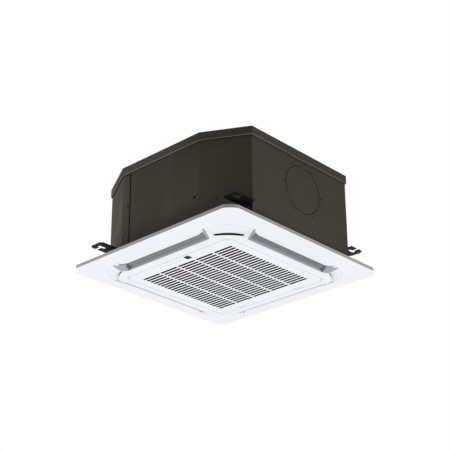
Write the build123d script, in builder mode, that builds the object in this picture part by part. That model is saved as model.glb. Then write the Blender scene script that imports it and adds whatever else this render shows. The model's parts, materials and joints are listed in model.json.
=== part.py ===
from build123d import *
import os
from math import atan2, cos, hypot, pi, sin, sqrt

# Compact four-way ceiling cassette air conditioner.
# Origin: centre of the panel, on the ceiling's lower face. +Z up, into the ceiling.
# Front is -Y (display side), right is +X (duct knock-out), left is -X (pipe side).

os.makedirs("parts", exist_ok=True)

# --- Clearances ---------------------------------------------------------------------
seat_gap = 0.3            # between pieces that seat but may move apart
pin_clearance = 0.05      # radial, pins and shafts in their bores
joint_gap = 0.5           # visible line between two panel mouldings

# --- Faceting -----------------------------------------------------------------------
round_sides = 12          # sides of the polygons that stand for round forms inside
tube_sides = 6            # sides of bent tubes
screw_sides = 6

# --- Panel --------------------------------------------------------------------------
panel_size = 647.0        # square panel, edge to edge
panel_corner_leg = 30.0   # straight edges stop this far from the square's corners
panel_corner_bulge = 4.0  # rise of the shallow arc that closes each corner
rim_height = 10.0         # upright edge that meets the ceiling
panel_drop = 32.0         # ceiling to the lowest face
panel_wall = 2.5          # moulded skin
core_half = 183.0         # half square that carries the four corner centres
crown_foot = 46.0         # from the core square to where the face starts to slope
crown_reach = 88.5        # from the core square to where the slope ends
crown_edge_drop = 16.0    # ceiling to the end of the slope
crown_steps = 3           # ruled bands that make up the slope
deck_bottom = -6.0        # inner deck of the panel
deck_thickness = 2.5
collar_top = 13.0         # top of the ducts and of the grille well
seal_half = 268.0
seal_corner = 30.0
screw_along = 188.0       # panel screws: along a side from its middle
screw_out = 239.0         # and out from the centre
screw_boss_radius = 5.5
panel_screw_radius = 2.4
screw_clearance = 0.4
panel_screw_head = 4.5
panel_screw_head_height = 3.0
weld_nut_top = 22.0

# --- Air outlets and louvres --------------------------------------------------------
duct_inner = 236.0        # from the centre to the outlet's inner wall
duct_width = 24.0
duct_half_length = 160.0
duct_wall = 2.0
horn_reach = 17.0         # how far the flared ends run on along the panel edge
horn_spread = 18.0        # how far they run outward past the outlet's outer lip
horn_run = 16.0           # length of the lip that bends into the flare
horn_depth = 2.5          # depth of the flare's floor below the skin
horn_floor = 1.0
louvre_chord = 20.0
louvre_thickness = 1.8
louvre_end_gap = 1.5      # louvre end to duct wall
louvre_offset = 3.0       # pivot to blade, square to the blade
louvre_pivot_height = -12.0
louvre_pin_radius = 2.0
louvre_motor_radius = 5.5
louvre_motor_grip = 6.0    # pin length inside the motor
louvre_lug = 2.0
louvre_bow = 1.2
louvre_motor_length = 11.0

# --- Corner covers ------------------------------------------------------------------
cover_inner_radius = 29.0
arc_slot_centre = 159.7   # the slot's arc is struck from here, in X and in -Y
arc_slot_radius = 87.0    # outward-facing black wall of the slot
arc_slot_half_angle = 28.0
arc_slot_reach = 12.0     # how far the cut runs on outward
arc_slot_ledge = -25.3    # height of the ledge above the slot
arc_slot_backing = 1.5
insert_thickness = 2.0
insert_recess = 1.0       # black insert below the cover's face
cover_boss_radius = 4.0
cover_boss_ring = 76.0

# --- Return-air grille --------------------------------------------------------------
grille_half = 207.0
grille_gap = 1.6
grille_thickness = 2.5
grille_edge_height = 14.0
grille_edge_wall = 2.0
slot_columns = 5
slot_rows = 24
slot_column_pitch = 71.9
slot_row_pitch = 14.05
slot_length = 66.0
slot_width = 8.6
rib_thickness = 2.0
rib_height = 3.0

hinge_inset = 30.0        # grille edge to hinge axis
hinge_rise = 4.0          # grille's inner face to hinge axis
hinge_spacing = 280.0
hinge_arm_width = 14.0
hinge_arm_depth = 7.0
hinge_ear = 4.0
hinge_boss_radius = 3.6
hinge_pin_radius = 1.75
hinge_ledge = 4.0
hinge_ledge_bottom = 7.0

latch_offset = 112.0
latch_width = 29.0
latch_tab_depth = 4.0
latch_body_depth = 17.0
latch_inset = 0.3
latch_notch_depth = 9.0
latch_guide_length = 7.0
latch_guide_lip = 1.5
latch_height = 5.0
latch_travel = 4.5
latch_margin = 2.2        # filter's front edge to the latch, both moved fully
latch_nose_width = 12.0

window_size = 20.0
window_x = 33.0
window_y = -190.0
window_corner = 4.0
lens_size = 4.0
lens_pitch = 13.0
lens_count = 4
lens_first_x = -38.0
lens_width = 2.4
display_board_x = -2.0
board_post = 2.0
board_post_radius = 2.0
display_board_length = 104.0
display_board_width = 11.0
board_thickness = 1.6

filter_half_width = 186.0
filter_margin = 12.0      # hinge axis to the filter
filter_rail_length = 320.0
filter_rail_lip = 3.0
filter_travel = 5.0
filter_thickness = 5.0
filter_bar = 5.0
filter_net = 1.0
filter_columns = 4
filter_rows = 3

# --- Body ---------------------------------------------------------------------------
cap_half_x = 293.7
cap_half_y = 276.3
cap_leg_x = 134.4         # bevel at each corner, measured along X
cap_leg_y = 74.3          # and along Y, at the front
cap_rear_leg_y = 52.8     # and along Y, at the rear
cap_top = 289.0
cap_lip = 26.0
cap_overhang = 4.0        # lip stands out from the side plates
sheet = 1.2               # body sheet steel
body_floor = 16.0         # lower edge of the side plates
seam_x = -129.0           # left plate meets the others here, front and rear
lap_width = 16.0
bead_height = 2.5
bead_width = 16.0
bead_length = 150.0
bead_ring = 190.0
lip_tab_drop = 1.8        # the lip is this much deeper over the knock-out
lip_tab_length = 87.0
lip_tab_middle = 7.5
lip_hole_z = 272.0
lip_hole_radius = 1.8
lip_front_hole_x = 116.0
lip_right_hole_1 = -9.7
lip_right_hole_2 = 67.6
lip_right_hole_3 = 184.8
return_flange = 28.0      # side plates turn in at the bottom
seam_gap = 1.0
lap_root = 5.0
case_screw_along = 50.2
case_screw_height = 76.8
seam_screw_height = 157.0
weld_nut_radius = 5.0
liner_thickness = 12.0
motor_recess_radius = 96.0

front_plug_x = 138.6      # small holes in the front, read from the photo
front_plug_z = 92.5
front_plug_radius = 4.2
front_hole_1_x = 88.6
front_hole_1_z = 80.0
front_hole_2_x = -70.9
front_hole_2_z = 83.4
seam_hole_x = -142.0
seam_hole_z = 56.0
seam_hole_radius = 3.2
bevel_hole_1_along = 79.6  # in the left bevel, from its left edge
bevel_hole_2_along = 124.5
bevel_hole_z = 142.3
bevel_hook_slot_along = 136.3
bevel_hook_slot_z = 86.8
bevel_hook_slot_height = 6.0
bevel_vent_along = 70.1
bevel_vent_z = 92.7
bevel_vent_height = 20.0
bevel_slot_width = 3.6

duct_y = 18.0             # knock-out in the right plate
duct_z = 168.0
duct_radius = 75.0
duct_slit = 2.4
duct_bridge = 9.0
duct_bridges = 3
duct_hole_ring = 83.0
duct_hole_radius = 2.8
duct_hole_count = 6

# --- Hangers ------------------------------------------------------------------------
hanger_plate = 2.4
hanger_height = 53.8
hanger_width = 51.0
hanger_corner = 12.0
hanger_slot_width = 12.0
hanger_slot_length = 28.0
hanger_slot_margin = 13.0
hanger_throat = 9.5
hanger_throat_margin = 21.5
hanger_slot_shift = 3.0
hanger_flange_height = 30.0
hanger_flange_width = 40.0
hanger_flange_margin = 4.0
hanger_right_x = 276.0
hanger_right_end = 279.0
hanger_left_x = 234.0
hanger_left_end = 306.0
screw_radius = 2.0
screw_head_radius = 4.0
screw_head_height = 2.0

# --- Air side -----------------------------------------------------------------------
pan_top = 58.0
trough_depth = 12.0
trough_margin = 5.0
pan_slot_inner = 232.0
pan_slot_width = 22.0
sump_radius = 31.0
sump_floor = 30.0
float_floor = 40.0
float_margin = 5.0
coil_half = 206.0         # centre line of the coil's ring
coil_depth = 36.0
coil_corner = 42.0
coil_end = 118.0          # coil ends stop this far from the centre lines
end_plate = 1.5
tube_radius = 4.75
tube_pitch = 25.4
tube_row_pitch = 18.0
bend_count = 4
bend_first = 20.0         # lowest bend above the trough's floor
bend_pitch = 52.0
tube_stub = 4.0
header_feeds = 3

bell_mouth_half = 211.5
curve_steps = 3           # straight runs that make up a moulded curve
bell_mouth_corner = 14.0
bell_plate = 2.5
bell_outer_radius = 150.0
bell_throat_radius = 106.0
bell_curve_top = 68.0
bell_top = 82.0
pan_hole_radius = 152.0

fan_radius = 165.0
fan_inlet_radius = 112.0
fan_plate = 2.5
shroud_inlet_bottom = 74.0
shroud_inlet_top = 84.0
shroud_outer_height = 105.0
fan_back_height = 215.0
fan_hub_height = 190.0
hub_boss_radius = 16.0
hub_boss_length = 30.0
hub_dish_radius = 72.0
hub_slope_radius = 90.0
blade_count = 7
blade_inner_radius = 104.0
blade_thickness = 6.0
blade_edge_rise = 14.0
blade_sweep = 42.0        # degrees turned from leading to trailing edge
blade_curve = 1.3         # the turn grows faster towards the rim
blade_lean = 45.0         # degrees between a blade and the radius
shaft_radius = 5.0
shaft_bottom = 150.0
fan_nut_height = 7.0
fan_nut_flats = 17.0

motor_radius = 68.0
motor_bottom = 202.0
motor_top = 268.0
motor_lug_ring = 82.0
motor_lug_radius = 10.0
motor_lug_thickness = 3.0
motor_edge = 4.0          # chamfer round both ends
motor_bore_depth = 30.0
stud_length = 40.0
bush_length = 28.0
stud_radius = 3.0
stud_count = 3
bush_radius = 8.0
mount_nut_height = 5.0

# --- Drain --------------------------------------------------------------------------
pump_x = -200.0
pump_y = -196.0
pump_radius = 26.0
pump_bottom = 76.0
pump_top = 130.0
pump_cup_radius = 14.0
pump_cup_wall = 2.0
pump_cup_bottom = 36.0
impeller_radius = 9.5
impeller_height = 12.0
impeller_vanes = 4
pump_shaft_radius = 2.0
pump_arm_height = 98.0
pump_bearing = 16.0
spigot_radius = 6.0
spigot_height = 50.0
bracket_width = 44.0
bracket_upstand = 18.0
hose_x = -240.0
hose_y = -172.0
hose_radius = 9.0
hose_wall = 2.8
hose_bend = 17.0
hose_bottom = 116.0
hose_tail = 6.0
drain_height = 238.0
drain_stub_radius = 13.0
drain_stub_bore = 10.5
drain_stub_length = 16.0
drain_flange_radius = 14.0
drain_flange = 3.0
drain_neck_radius = 8.0
drain_tube_wall = 1.5
float_x = -158.0
float_y = -168.0
float_radius = 8.0
float_height = 12.0
float_travel = 10.0
float_stem_radius = 2.5
float_stop_radius = 4.0

# --- Refrigerant pipes --------------------------------------------------------------
pipe_y = -146.0
gas_radius = 6.35
gas_height = 196.0
liquid_radius = 3.175
liquid_height = 225.0
pipe_wall = 1.0
pipe_reach = 33.5         # past the left plate
header_radius = 8.0
header_bottom = 100.0
header_top = 212.0
liquid_turn_x = -180.0
liquid_bend = 16.0
pipe_hole_margin = 3.0
gas_nut_flats = 26.0
gas_nut_length = 24.0
liquid_nut_flats = 17.0
liquid_nut_length = 20.0
pipe_plate_half_width = 11.5
pipe_plate_bottom = 160.0
pipe_plate_top = 256.0
grommet_y = 120.0
grommet_z = 90.0
grommet_radius = 14.0
grommet_bore = 8.0
grommet_neck_radius = 11.0
grommet_flange = 2.5

# --- Control box --------------------------------------------------------------------
box_half_length = 130.0
box_near = 153.0
box_far = 193.0
box_bottom = -10.0
box_wall = 1.0
box_cover = 1.5
box_cable_hole = 7.0
board_spacer = 5.0

# --- Derived values -----------------------------------------------------------------
panel_half = panel_size / 2
face_height = -panel_drop
opening_half = grille_half + grille_gap
opening_corner = opening_half - core_half
duct_outer = duct_inner + duct_width
wall_top = cap_top - sheet
liner_inset = cap_overhang + sheet
hollow_inset = liner_inset + liner_thickness
hollow_top = wall_top - liner_thickness
wall_x = cap_half_x - cap_overhang
wall_y = cap_half_y - cap_overhang
trough_floor = pan_top - trough_depth
coil_outer = coil_half + coil_depth / 2
coil_inner = coil_half - coil_depth / 2
hinge_y = -(grille_half - hinge_inset)
latch_front = grille_half - latch_inset
latch_back = latch_front - latch_body_depth
filter_back = hinge_y + filter_margin
filter_front = latch_back - latch_travel - filter_travel - latch_margin
hinge_z = face_height + grille_thickness + hinge_rise
grille_inner = face_height + grille_thickness
louvre_pivot = duct_inner + duct_width / 2 + 0.5
quarter_turns = {"front": 0, "right": 90, "rear": 180, "left": 270}
corner_turns = {"near": 0, "right": 90, "far": 180, "left": 270}


def crown_height(distance):
    """Height of the panel's face at a distance from the core square: an S-shaped slope."""
    share = (distance - crown_foot) / (crown_reach - crown_foot)
    share = min(max(share, 0.0), 1.0)
    rise = panel_drop - crown_edge_drop
    return face_height + rise * share * share * (3 - 2 * share)


def body_outline(inset):
    """The top pan's octagon, drawn in by an inset."""
    half_x = cap_half_x
    half_y = cap_half_y
    straight_x = half_x - cap_leg_x
    front_y = half_y - cap_leg_y
    rear_y = half_y - cap_rear_leg_y
    with BuildSketch() as outline:
        with BuildLine():
            Polyline(
                (half_x, -front_y), (half_x, rear_y),
                (straight_x, half_y), (-straight_x, half_y),
                (-half_x, rear_y), (-half_x, -front_y),
                (-straight_x, -half_y), (straight_x, -half_y),
                close=True,
            )
        make_face()
        if inset > 0:
            offset(amount=-inset, kind=Kind.INTERSECTION)
    return outline.sketch


def arc_square(half, leg, bulge):
    """A square whose corners are cut back by a leg and closed by an arc of a given rise."""
    middle = half - leg / 2 + bulge / sqrt(2)
    with BuildSketch() as outline:
        with BuildLine():
            for turn in range(4):
                start = Vector(-half + leg, -half).rotate(Axis.Z, 90 * turn)
                end = Vector(half - leg, -half).rotate(Axis.Z, 90 * turn)
                crown = Vector(middle, -middle).rotate(Axis.Z, 90 * turn)
                finish = Vector(half, -half + leg).rotate(Axis.Z, 90 * turn)
                Line(start, end)
                ThreePointArc(end, crown, finish)
        make_face()
    return outline.sketch


def round_square(distance, shrink=0.0):
    """The core square grown by a distance, with corners struck from the corner centres."""
    radius = distance - shrink
    return arc_square(core_half + radius, radius, radius * (1 - 1 / sqrt(2)))


def panel_block(shrink):
    """The panel's outer form as a solid; a shrink gives the hollow inside its skin."""
    base = face_height + shrink
    with BuildPart() as block:
        for step in range(crown_steps + 1):
            distance = crown_foot + (crown_reach - crown_foot) * step / crown_steps
            with BuildSketch(Plane.XY.offset(crown_height(distance) + shrink)):
                add(round_square(distance, shrink))
        with BuildSketch(Plane.XY.offset(-rim_height + shrink)):
            add(arc_square(panel_half - shrink, panel_corner_leg, panel_corner_bulge))
        loft(ruled=True)
        with BuildSketch(Plane.XY.offset(-rim_height + shrink)):
            add(arc_square(panel_half - shrink, panel_corner_leg, panel_corner_bulge))
        extrude(amount=rim_height - shrink)
    return block.part


def horn_outline(grow):
    """Plan of the two flared outlet ends on the front side, grown by a margin."""
    inner = -duct_inner
    outer = -duct_outer
    end = duct_half_length
    tip = (end + horn_reach, outer - horn_spread)
    with BuildSketch() as outline:
        with BuildLine():
            Polyline((end - horn_run, outer), (end - horn_run, inner), (end - 2, inner))
            ThreePointArc((end - 2, inner), (end + horn_reach * 0.6, outer + 4), tip)
            ThreePointArc(tip, (end + 1, outer - 6), (end - horn_run, outer))
        make_face()
        if grow > 0:
            offset(amount=grow, kind=Kind.INTERSECTION)
        mirror(about=Plane.YZ)
    return outline.sketch


def corner_band(inner, outer, half_angle):
    """A piece of a ring round the arc centre of the near corner's slot."""
    centre = (arc_slot_centre, -arc_slot_centre)
    with BuildSketch() as band:
        with BuildLine():
            near = CenterArc(centre, inner, -45 - half_angle, 2 * half_angle)
            far = CenterArc(centre, outer, -45 - half_angle, 2 * half_angle)
            Line(near @ 0, far @ 0)
            Line(near @ 1, far @ 1)
        make_face()
    return band.sketch


def quarter_curve(start, finish):
    """Points on a quarter ellipse from start (level) to finish (upright)."""
    points = []
    for step in range(curve_steps + 1):
        angle = pi / 2 * step / curve_steps
        points.append((
            start[0] + (finish[0] - start[0]) * sin(angle),
            finish[1] + (start[1] - finish[1]) * cos(angle),
        ))
    return points


def tube(path, radius, sides):
    """A solid tube of flat sides along a path of straight runs."""
    with BuildPart() as run:
        with BuildSketch(Plane(origin=path @ 0, z_dir=path % 0)):
            RegularPolygon(radius, sides)
        sweep(path=path, transition=Transition.RIGHT)
    return run.part


def outlet_row(height, inner, width, half_length):
    """Four rectangles, one along each side, as a sketch at a height."""
    with BuildSketch(Plane.XY.offset(height)) as outline:
        with PolarLocations(inner + width / 2, 4, start_angle=-90):
            Rectangle(width, 2 * half_length)
    return outline.sketch


# ====================================================================================
# Panel
# ====================================================================================

panel_outer = panel_block(0.0)
panel_hollow = panel_block(panel_wall)
horn_ceiling = panel_block(horn_depth)
horn_backing = panel_block(horn_depth + horn_floor)
insert_limit = panel_block(insert_recess)
screw_turns = list(corner_turns.values())

# roots of the duct walls, trimmed to the panel's face
with BuildPart() as duct_roots:
    with BuildSketch(Plane.XY.offset(face_height)):
        add(outlet_row(0, duct_inner - duct_wall, duct_width + 2 * duct_wall, duct_half_length + duct_wall))
    extrude(amount=panel_drop + deck_bottom)
    add(panel_outer, mode=Mode.INTERSECT)

with BuildPart() as horn_cups:
    with BuildSketch(Plane.XY.offset(face_height)):
        add(horn_outline(horn_floor))
    extrude(amount=panel_drop + deck_bottom)
    add(horn_backing, mode=Mode.SUBTRACT)
    add(panel_outer, mode=Mode.INTERSECT)

with BuildPart() as horn_cuts:
    with BuildSketch(Plane.XY.offset(face_height - 1)):
        add(horn_outline(0))
    extrude(amount=panel_drop + deck_bottom)
    add(horn_ceiling, mode=Mode.SUBTRACT)

# the quarter ring at the near corner that its cover fills
with BuildPart() as corner_pocket:
    with BuildSketch(Plane.XY.offset(face_height - 1)):
        with Locations((core_half, -core_half)):
            Circle(crown_reach)
            Circle(cover_inner_radius - joint_gap, mode=Mode.SUBTRACT)
            Rectangle(panel_half, panel_half, align=(Align.MIN, Align.MAX), mode=Mode.INTERSECT)
    extrude(amount=deck_bottom - face_height + 1)

with BuildPart() as pin_bore:
    with BuildSketch(Plane.YZ.offset(-duct_half_length - 2 * duct_wall)):
        with Locations((-louvre_pivot, louvre_pivot_height)):
            Circle(louvre_pin_radius + pin_clearance)
    extrude(amount=2 * (duct_half_length + 2 * duct_wall))

with BuildPart() as panel_frame:
    add(panel_outer)
    add(panel_hollow, mode=Mode.SUBTRACT)
    # deck that stiffens the moulding and carries the corner parts
    with BuildSketch(Plane.XY.offset(deck_bottom)):
        add(arc_square(panel_half - panel_wall / 2, panel_corner_leg, panel_corner_bulge))
    extrude(amount=deck_thickness)
    # well round the grille, up to the foam seal
    with BuildSketch(Plane.XY.offset(face_height)):
        well_half = opening_half + duct_wall
        RectangleRounded(2 * well_half, 2 * well_half, opening_corner + duct_wall)
    extrude(amount=collar_top - face_height)
    # four outlet ducts with flared ends
    add(duct_roots)
    with BuildSketch(Plane.XY.offset(deck_bottom)):
        add(outlet_row(0, duct_inner - duct_wall, duct_width + 2 * duct_wall, duct_half_length + duct_wall))
    extrude(amount=collar_top - deck_bottom)
    for turn in quarter_turns.values():
        add(horn_cups.part.rotate(Axis.Z, turn))
    for turn in quarter_turns.values():
        add(horn_cuts.part.rotate(Axis.Z, turn), mode=Mode.SUBTRACT)
    # tubes for the four panel screws
    with BuildSketch(Plane.XY.offset(deck_bottom)):
        for turn in screw_turns:
            with Locations(Vector(screw_along, -screw_out).rotate(Axis.Z, turn)):
                RegularPolygon(screw_boss_radius, screw_sides)
    extrude(amount=collar_top - deck_bottom)
    # pockets for the corner covers
    for turn in corner_turns.values():
        add(corner_pocket.part.rotate(Axis.Z, turn), mode=Mode.SUBTRACT)
    # openings right through
    with BuildSketch(Plane.XY.offset(face_height - 1)):
        RectangleRounded(2 * opening_half, 2 * opening_half, opening_corner)
        add(outlet_row(0, duct_inner, duct_width, duct_half_length))
        for turn in screw_turns:
            with Locations(Vector(screw_along, -screw_out).rotate(Axis.Z, turn)):
                Circle(panel_screw_radius + screw_clearance)
    extrude(amount=collar_top - face_height + 2, mode=Mode.SUBTRACT)
    # bores for the louvre pins
    for turn in quarter_turns.values():
        add(pin_bore.part.rotate(Axis.Z, turn), mode=Mode.SUBTRACT)
    # two hinge arms inside the well, on its front wall
    for side in (-1, 1):
        arm_plane = Plane.YZ.offset(side * hinge_spacing / 2 - hinge_arm_width / 2)
        with BuildSketch(arm_plane):
            with Locations((hinge_y - hinge_arm_depth / 2, hinge_ledge_bottom)):
                Rectangle(hinge_arm_depth, hinge_ledge_bottom - hinge_z, align=(Align.MIN, Align.MAX))
            with Locations((-opening_half - duct_wall / 2, hinge_ledge_bottom)):
                Rectangle(
                    opening_half + duct_wall / 2 + hinge_y + hinge_arm_depth / 2, hinge_ledge,
                    align=(Align.MIN, Align.MIN),
                )
            with Locations((hinge_y, hinge_z)):
                RegularPolygon(hinge_boss_radius, round_sides)
                Circle(hinge_pin_radius + pin_clearance, mode=Mode.SUBTRACT)
        extrude(amount=hinge_arm_width)
panel_frame.part.label = "panel_frame"
export_step(panel_frame.part, "parts/panel_frame.step")

# one corner cover and its black insert; the other three are quarter turns of them
cover_reach = crown_reach - joint_gap
slot_outer = arc_slot_radius + arc_slot_reach
groove_inner = arc_slot_radius - insert_thickness - seat_gap
with BuildPart() as slot_backing:
    with BuildSketch(Plane.XY.offset(face_height)):
        add(corner_band(groove_inner - arc_slot_backing, slot_outer, arc_slot_half_angle + 1))
        with Locations((core_half + joint_gap, -core_half - joint_gap)):
            Rectangle(panel_half, panel_half, align=(Align.MIN, Align.MAX), mode=Mode.INTERSECT)
    extrude(amount=arc_slot_ledge + arc_slot_backing - face_height)
    add(panel_outer, mode=Mode.INTERSECT)

with BuildPart() as corner_cover:
    with BuildSketch(Plane.XY.offset(face_height - 1)):
        with Locations((core_half, -core_half)):
            Circle(cover_reach)
            Circle(cover_inner_radius, mode=Mode.SUBTRACT)
        with Locations((core_half + joint_gap, -core_half - joint_gap)):
            Rectangle(panel_half, panel_half, align=(Align.MIN, Align.MAX), mode=Mode.INTERSECT)
    extrude(amount=deck_bottom - face_height + 1)
    add(panel_hollow, mode=Mode.SUBTRACT)
    add(panel_outer, mode=Mode.INTERSECT)
    with BuildSketch(Plane.XY.offset(deck_bottom)):
        with Locations((core_half, -core_half)):
            with PolarLocations(cover_boss_ring, 2, start_angle=-75, angular_range=60):
                RegularPolygon(cover_boss_radius, screw_sides)
    extrude(amount=face_height / 2 - deck_bottom)
    # the slot is a step in the face: its wall looks outward, to the panel's corner
    add(slot_backing.part)
    with BuildSketch(Plane.XY.offset(face_height - 1)):
        add(corner_band(groove_inner, slot_outer, arc_slot_half_angle))
    extrude(amount=arc_slot_ledge - face_height + 1, mode=Mode.SUBTRACT)

with BuildPart() as slot_insert:
    with BuildSketch(Plane.XY.offset(face_height - 1)):
        add(corner_band(arc_slot_radius - insert_thickness, arc_slot_radius, arc_slot_half_angle - 0.5))
    extrude(amount=arc_slot_ledge - face_height + 1)
    add(insert_limit, mode=Mode.INTERSECT)

for name, turn in corner_turns.items():
    cover = corner_cover.part.rotate(Axis.Z, turn)
    cover.label = f"corner_cover_{name}"
    export_step(cover, f"parts/corner_cover_{name}.step")
with BuildPart() as slot_inserts:
    for turn in corner_turns.values():
        add(slot_insert.part.rotate(Axis.Z, turn))
slot_inserts.part.label = "slot_inserts"
export_step(slot_inserts.part, "parts/slot_inserts.step")

with BuildPart() as panel_seal:
    with BuildSketch(Plane.XY.offset(collar_top)):
        RectangleRounded(2 * seal_half, 2 * seal_half, seal_corner)
        RectangleRounded(2 * opening_half, 2 * opening_half, opening_corner, mode=Mode.SUBTRACT)
        add(outlet_row(0, duct_inner, duct_width, duct_half_length), mode=Mode.SUBTRACT)
        for turn in screw_turns:
            with Locations(Vector(screw_along, -screw_out).rotate(Axis.Z, turn)):
                RegularPolygon(screw_boss_radius, screw_sides, mode=Mode.SUBTRACT)
    extrude(amount=body_floor - collar_top)
panel_seal.part.label = "panel_seal"
export_step(panel_seal.part, "parts/panel_seal.step")

with BuildPart() as panel_screws:
    for turn in screw_turns:
        place = Vector(screw_along, -screw_out).rotate(Axis.Z, turn)
        with BuildSketch(Plane.XY.offset(deck_bottom)):
            with Locations(place):
                RegularPolygon(panel_screw_head, screw_sides)
        extrude(amount=-panel_screw_head_height)
        with BuildSketch(Plane.XY.offset(deck_bottom)):
            with Locations(place):
                Circle(panel_screw_radius)
        extrude(amount=weld_nut_top - deck_bottom - 1)
panel_screws.part.label = "panel_screws"
export_step(panel_screws.part, "parts/panel_screws.step")

# ====================================================================================
# Louvres and their motors
# ====================================================================================

slope_angle = atan2(
    crown_height(duct_outer - core_half) - crown_height(duct_inner - core_half), duct_width
)
louvre_half = duct_half_length - louvre_end_gap
louvre_plane = Plane(
    origin=(-louvre_half, -louvre_pivot, louvre_pivot_height),
    x_dir=(0, -cos(slope_angle), sin(slope_angle)),
    z_dir=(1, 0, 0),
)
with BuildPart() as louvre:
    blade_back = louvre_offset + louvre_thickness
    half_chord = louvre_chord / 2
    with BuildSketch(louvre_plane):
        with BuildLine():
            ThreePointArc(
                (-half_chord, louvre_offset), (0, louvre_offset - louvre_bow), (half_chord, louvre_offset)
            )
            Line((half_chord, louvre_offset), (half_chord, blade_back))
            ThreePointArc((half_chord, blade_back), (0, blade_back - louvre_bow), (-half_chord, blade_back))
            Line((-half_chord, blade_back), (-half_chord, louvre_offset))
        make_face()
    extrude(amount=2 * louvre_half)
    for plane in (louvre_plane, louvre_plane.offset(2 * louvre_half - louvre_lug)):
        with BuildSketch(plane):
            RegularPolygon(louvre_pin_radius + 1.5, screw_sides)
            with Locations((0, 0)):
                Rectangle(2 * louvre_pin_radius, louvre_offset, align=(Align.CENTER, Align.MIN))
        extrude(amount=louvre_lug)
    with BuildSketch(louvre_plane):
        Circle(louvre_pin_radius)
    extrude(amount=-louvre_end_gap - duct_wall)
    with BuildSketch(louvre_plane.offset(2 * louvre_half)):
        Circle(louvre_pin_radius)
    extrude(amount=louvre_end_gap + duct_wall + louvre_motor_grip)

for name, turn in quarter_turns.items():
    blade = louvre.part.rotate(Axis.Z, turn)
    blade.label = f"louvre_{name}"
    export_step(blade, f"parts/louvre_{name}.step")

motor_plane = Plane.YZ.offset(duct_half_length + duct_wall)
with BuildPart() as louvre_motor:
    with BuildSketch(motor_plane):
        with Locations((-louvre_pivot, louvre_pivot_height)):
            RegularPolygon(louvre_motor_radius, round_sides)
            Circle(louvre_pin_radius + pin_clearance, mode=Mode.SUBTRACT)
    extrude(amount=louvre_motor_length)
with BuildPart() as louvre_motors:
    for turn in quarter_turns.values():
        add(louvre_motor.part.rotate(Axis.Z, turn))
louvre_motors.part.label = "louvre_motors"
export_step(louvre_motors.part, "parts/louvre_motors.step")

# ====================================================================================
# Return-air grille
# ====================================================================================

grille_corner = grille_half - core_half
ear_shift = hinge_arm_width / 2 + joint_gap
latch_left_edge = latch_width / 2 + seat_gap
latch_bottom = grille_inner + seat_gap
rail_x = filter_half_width + seat_gap
filter_bottom = grille_inner + rib_height + seat_gap
rail_top = filter_bottom + filter_thickness + seat_gap

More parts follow.
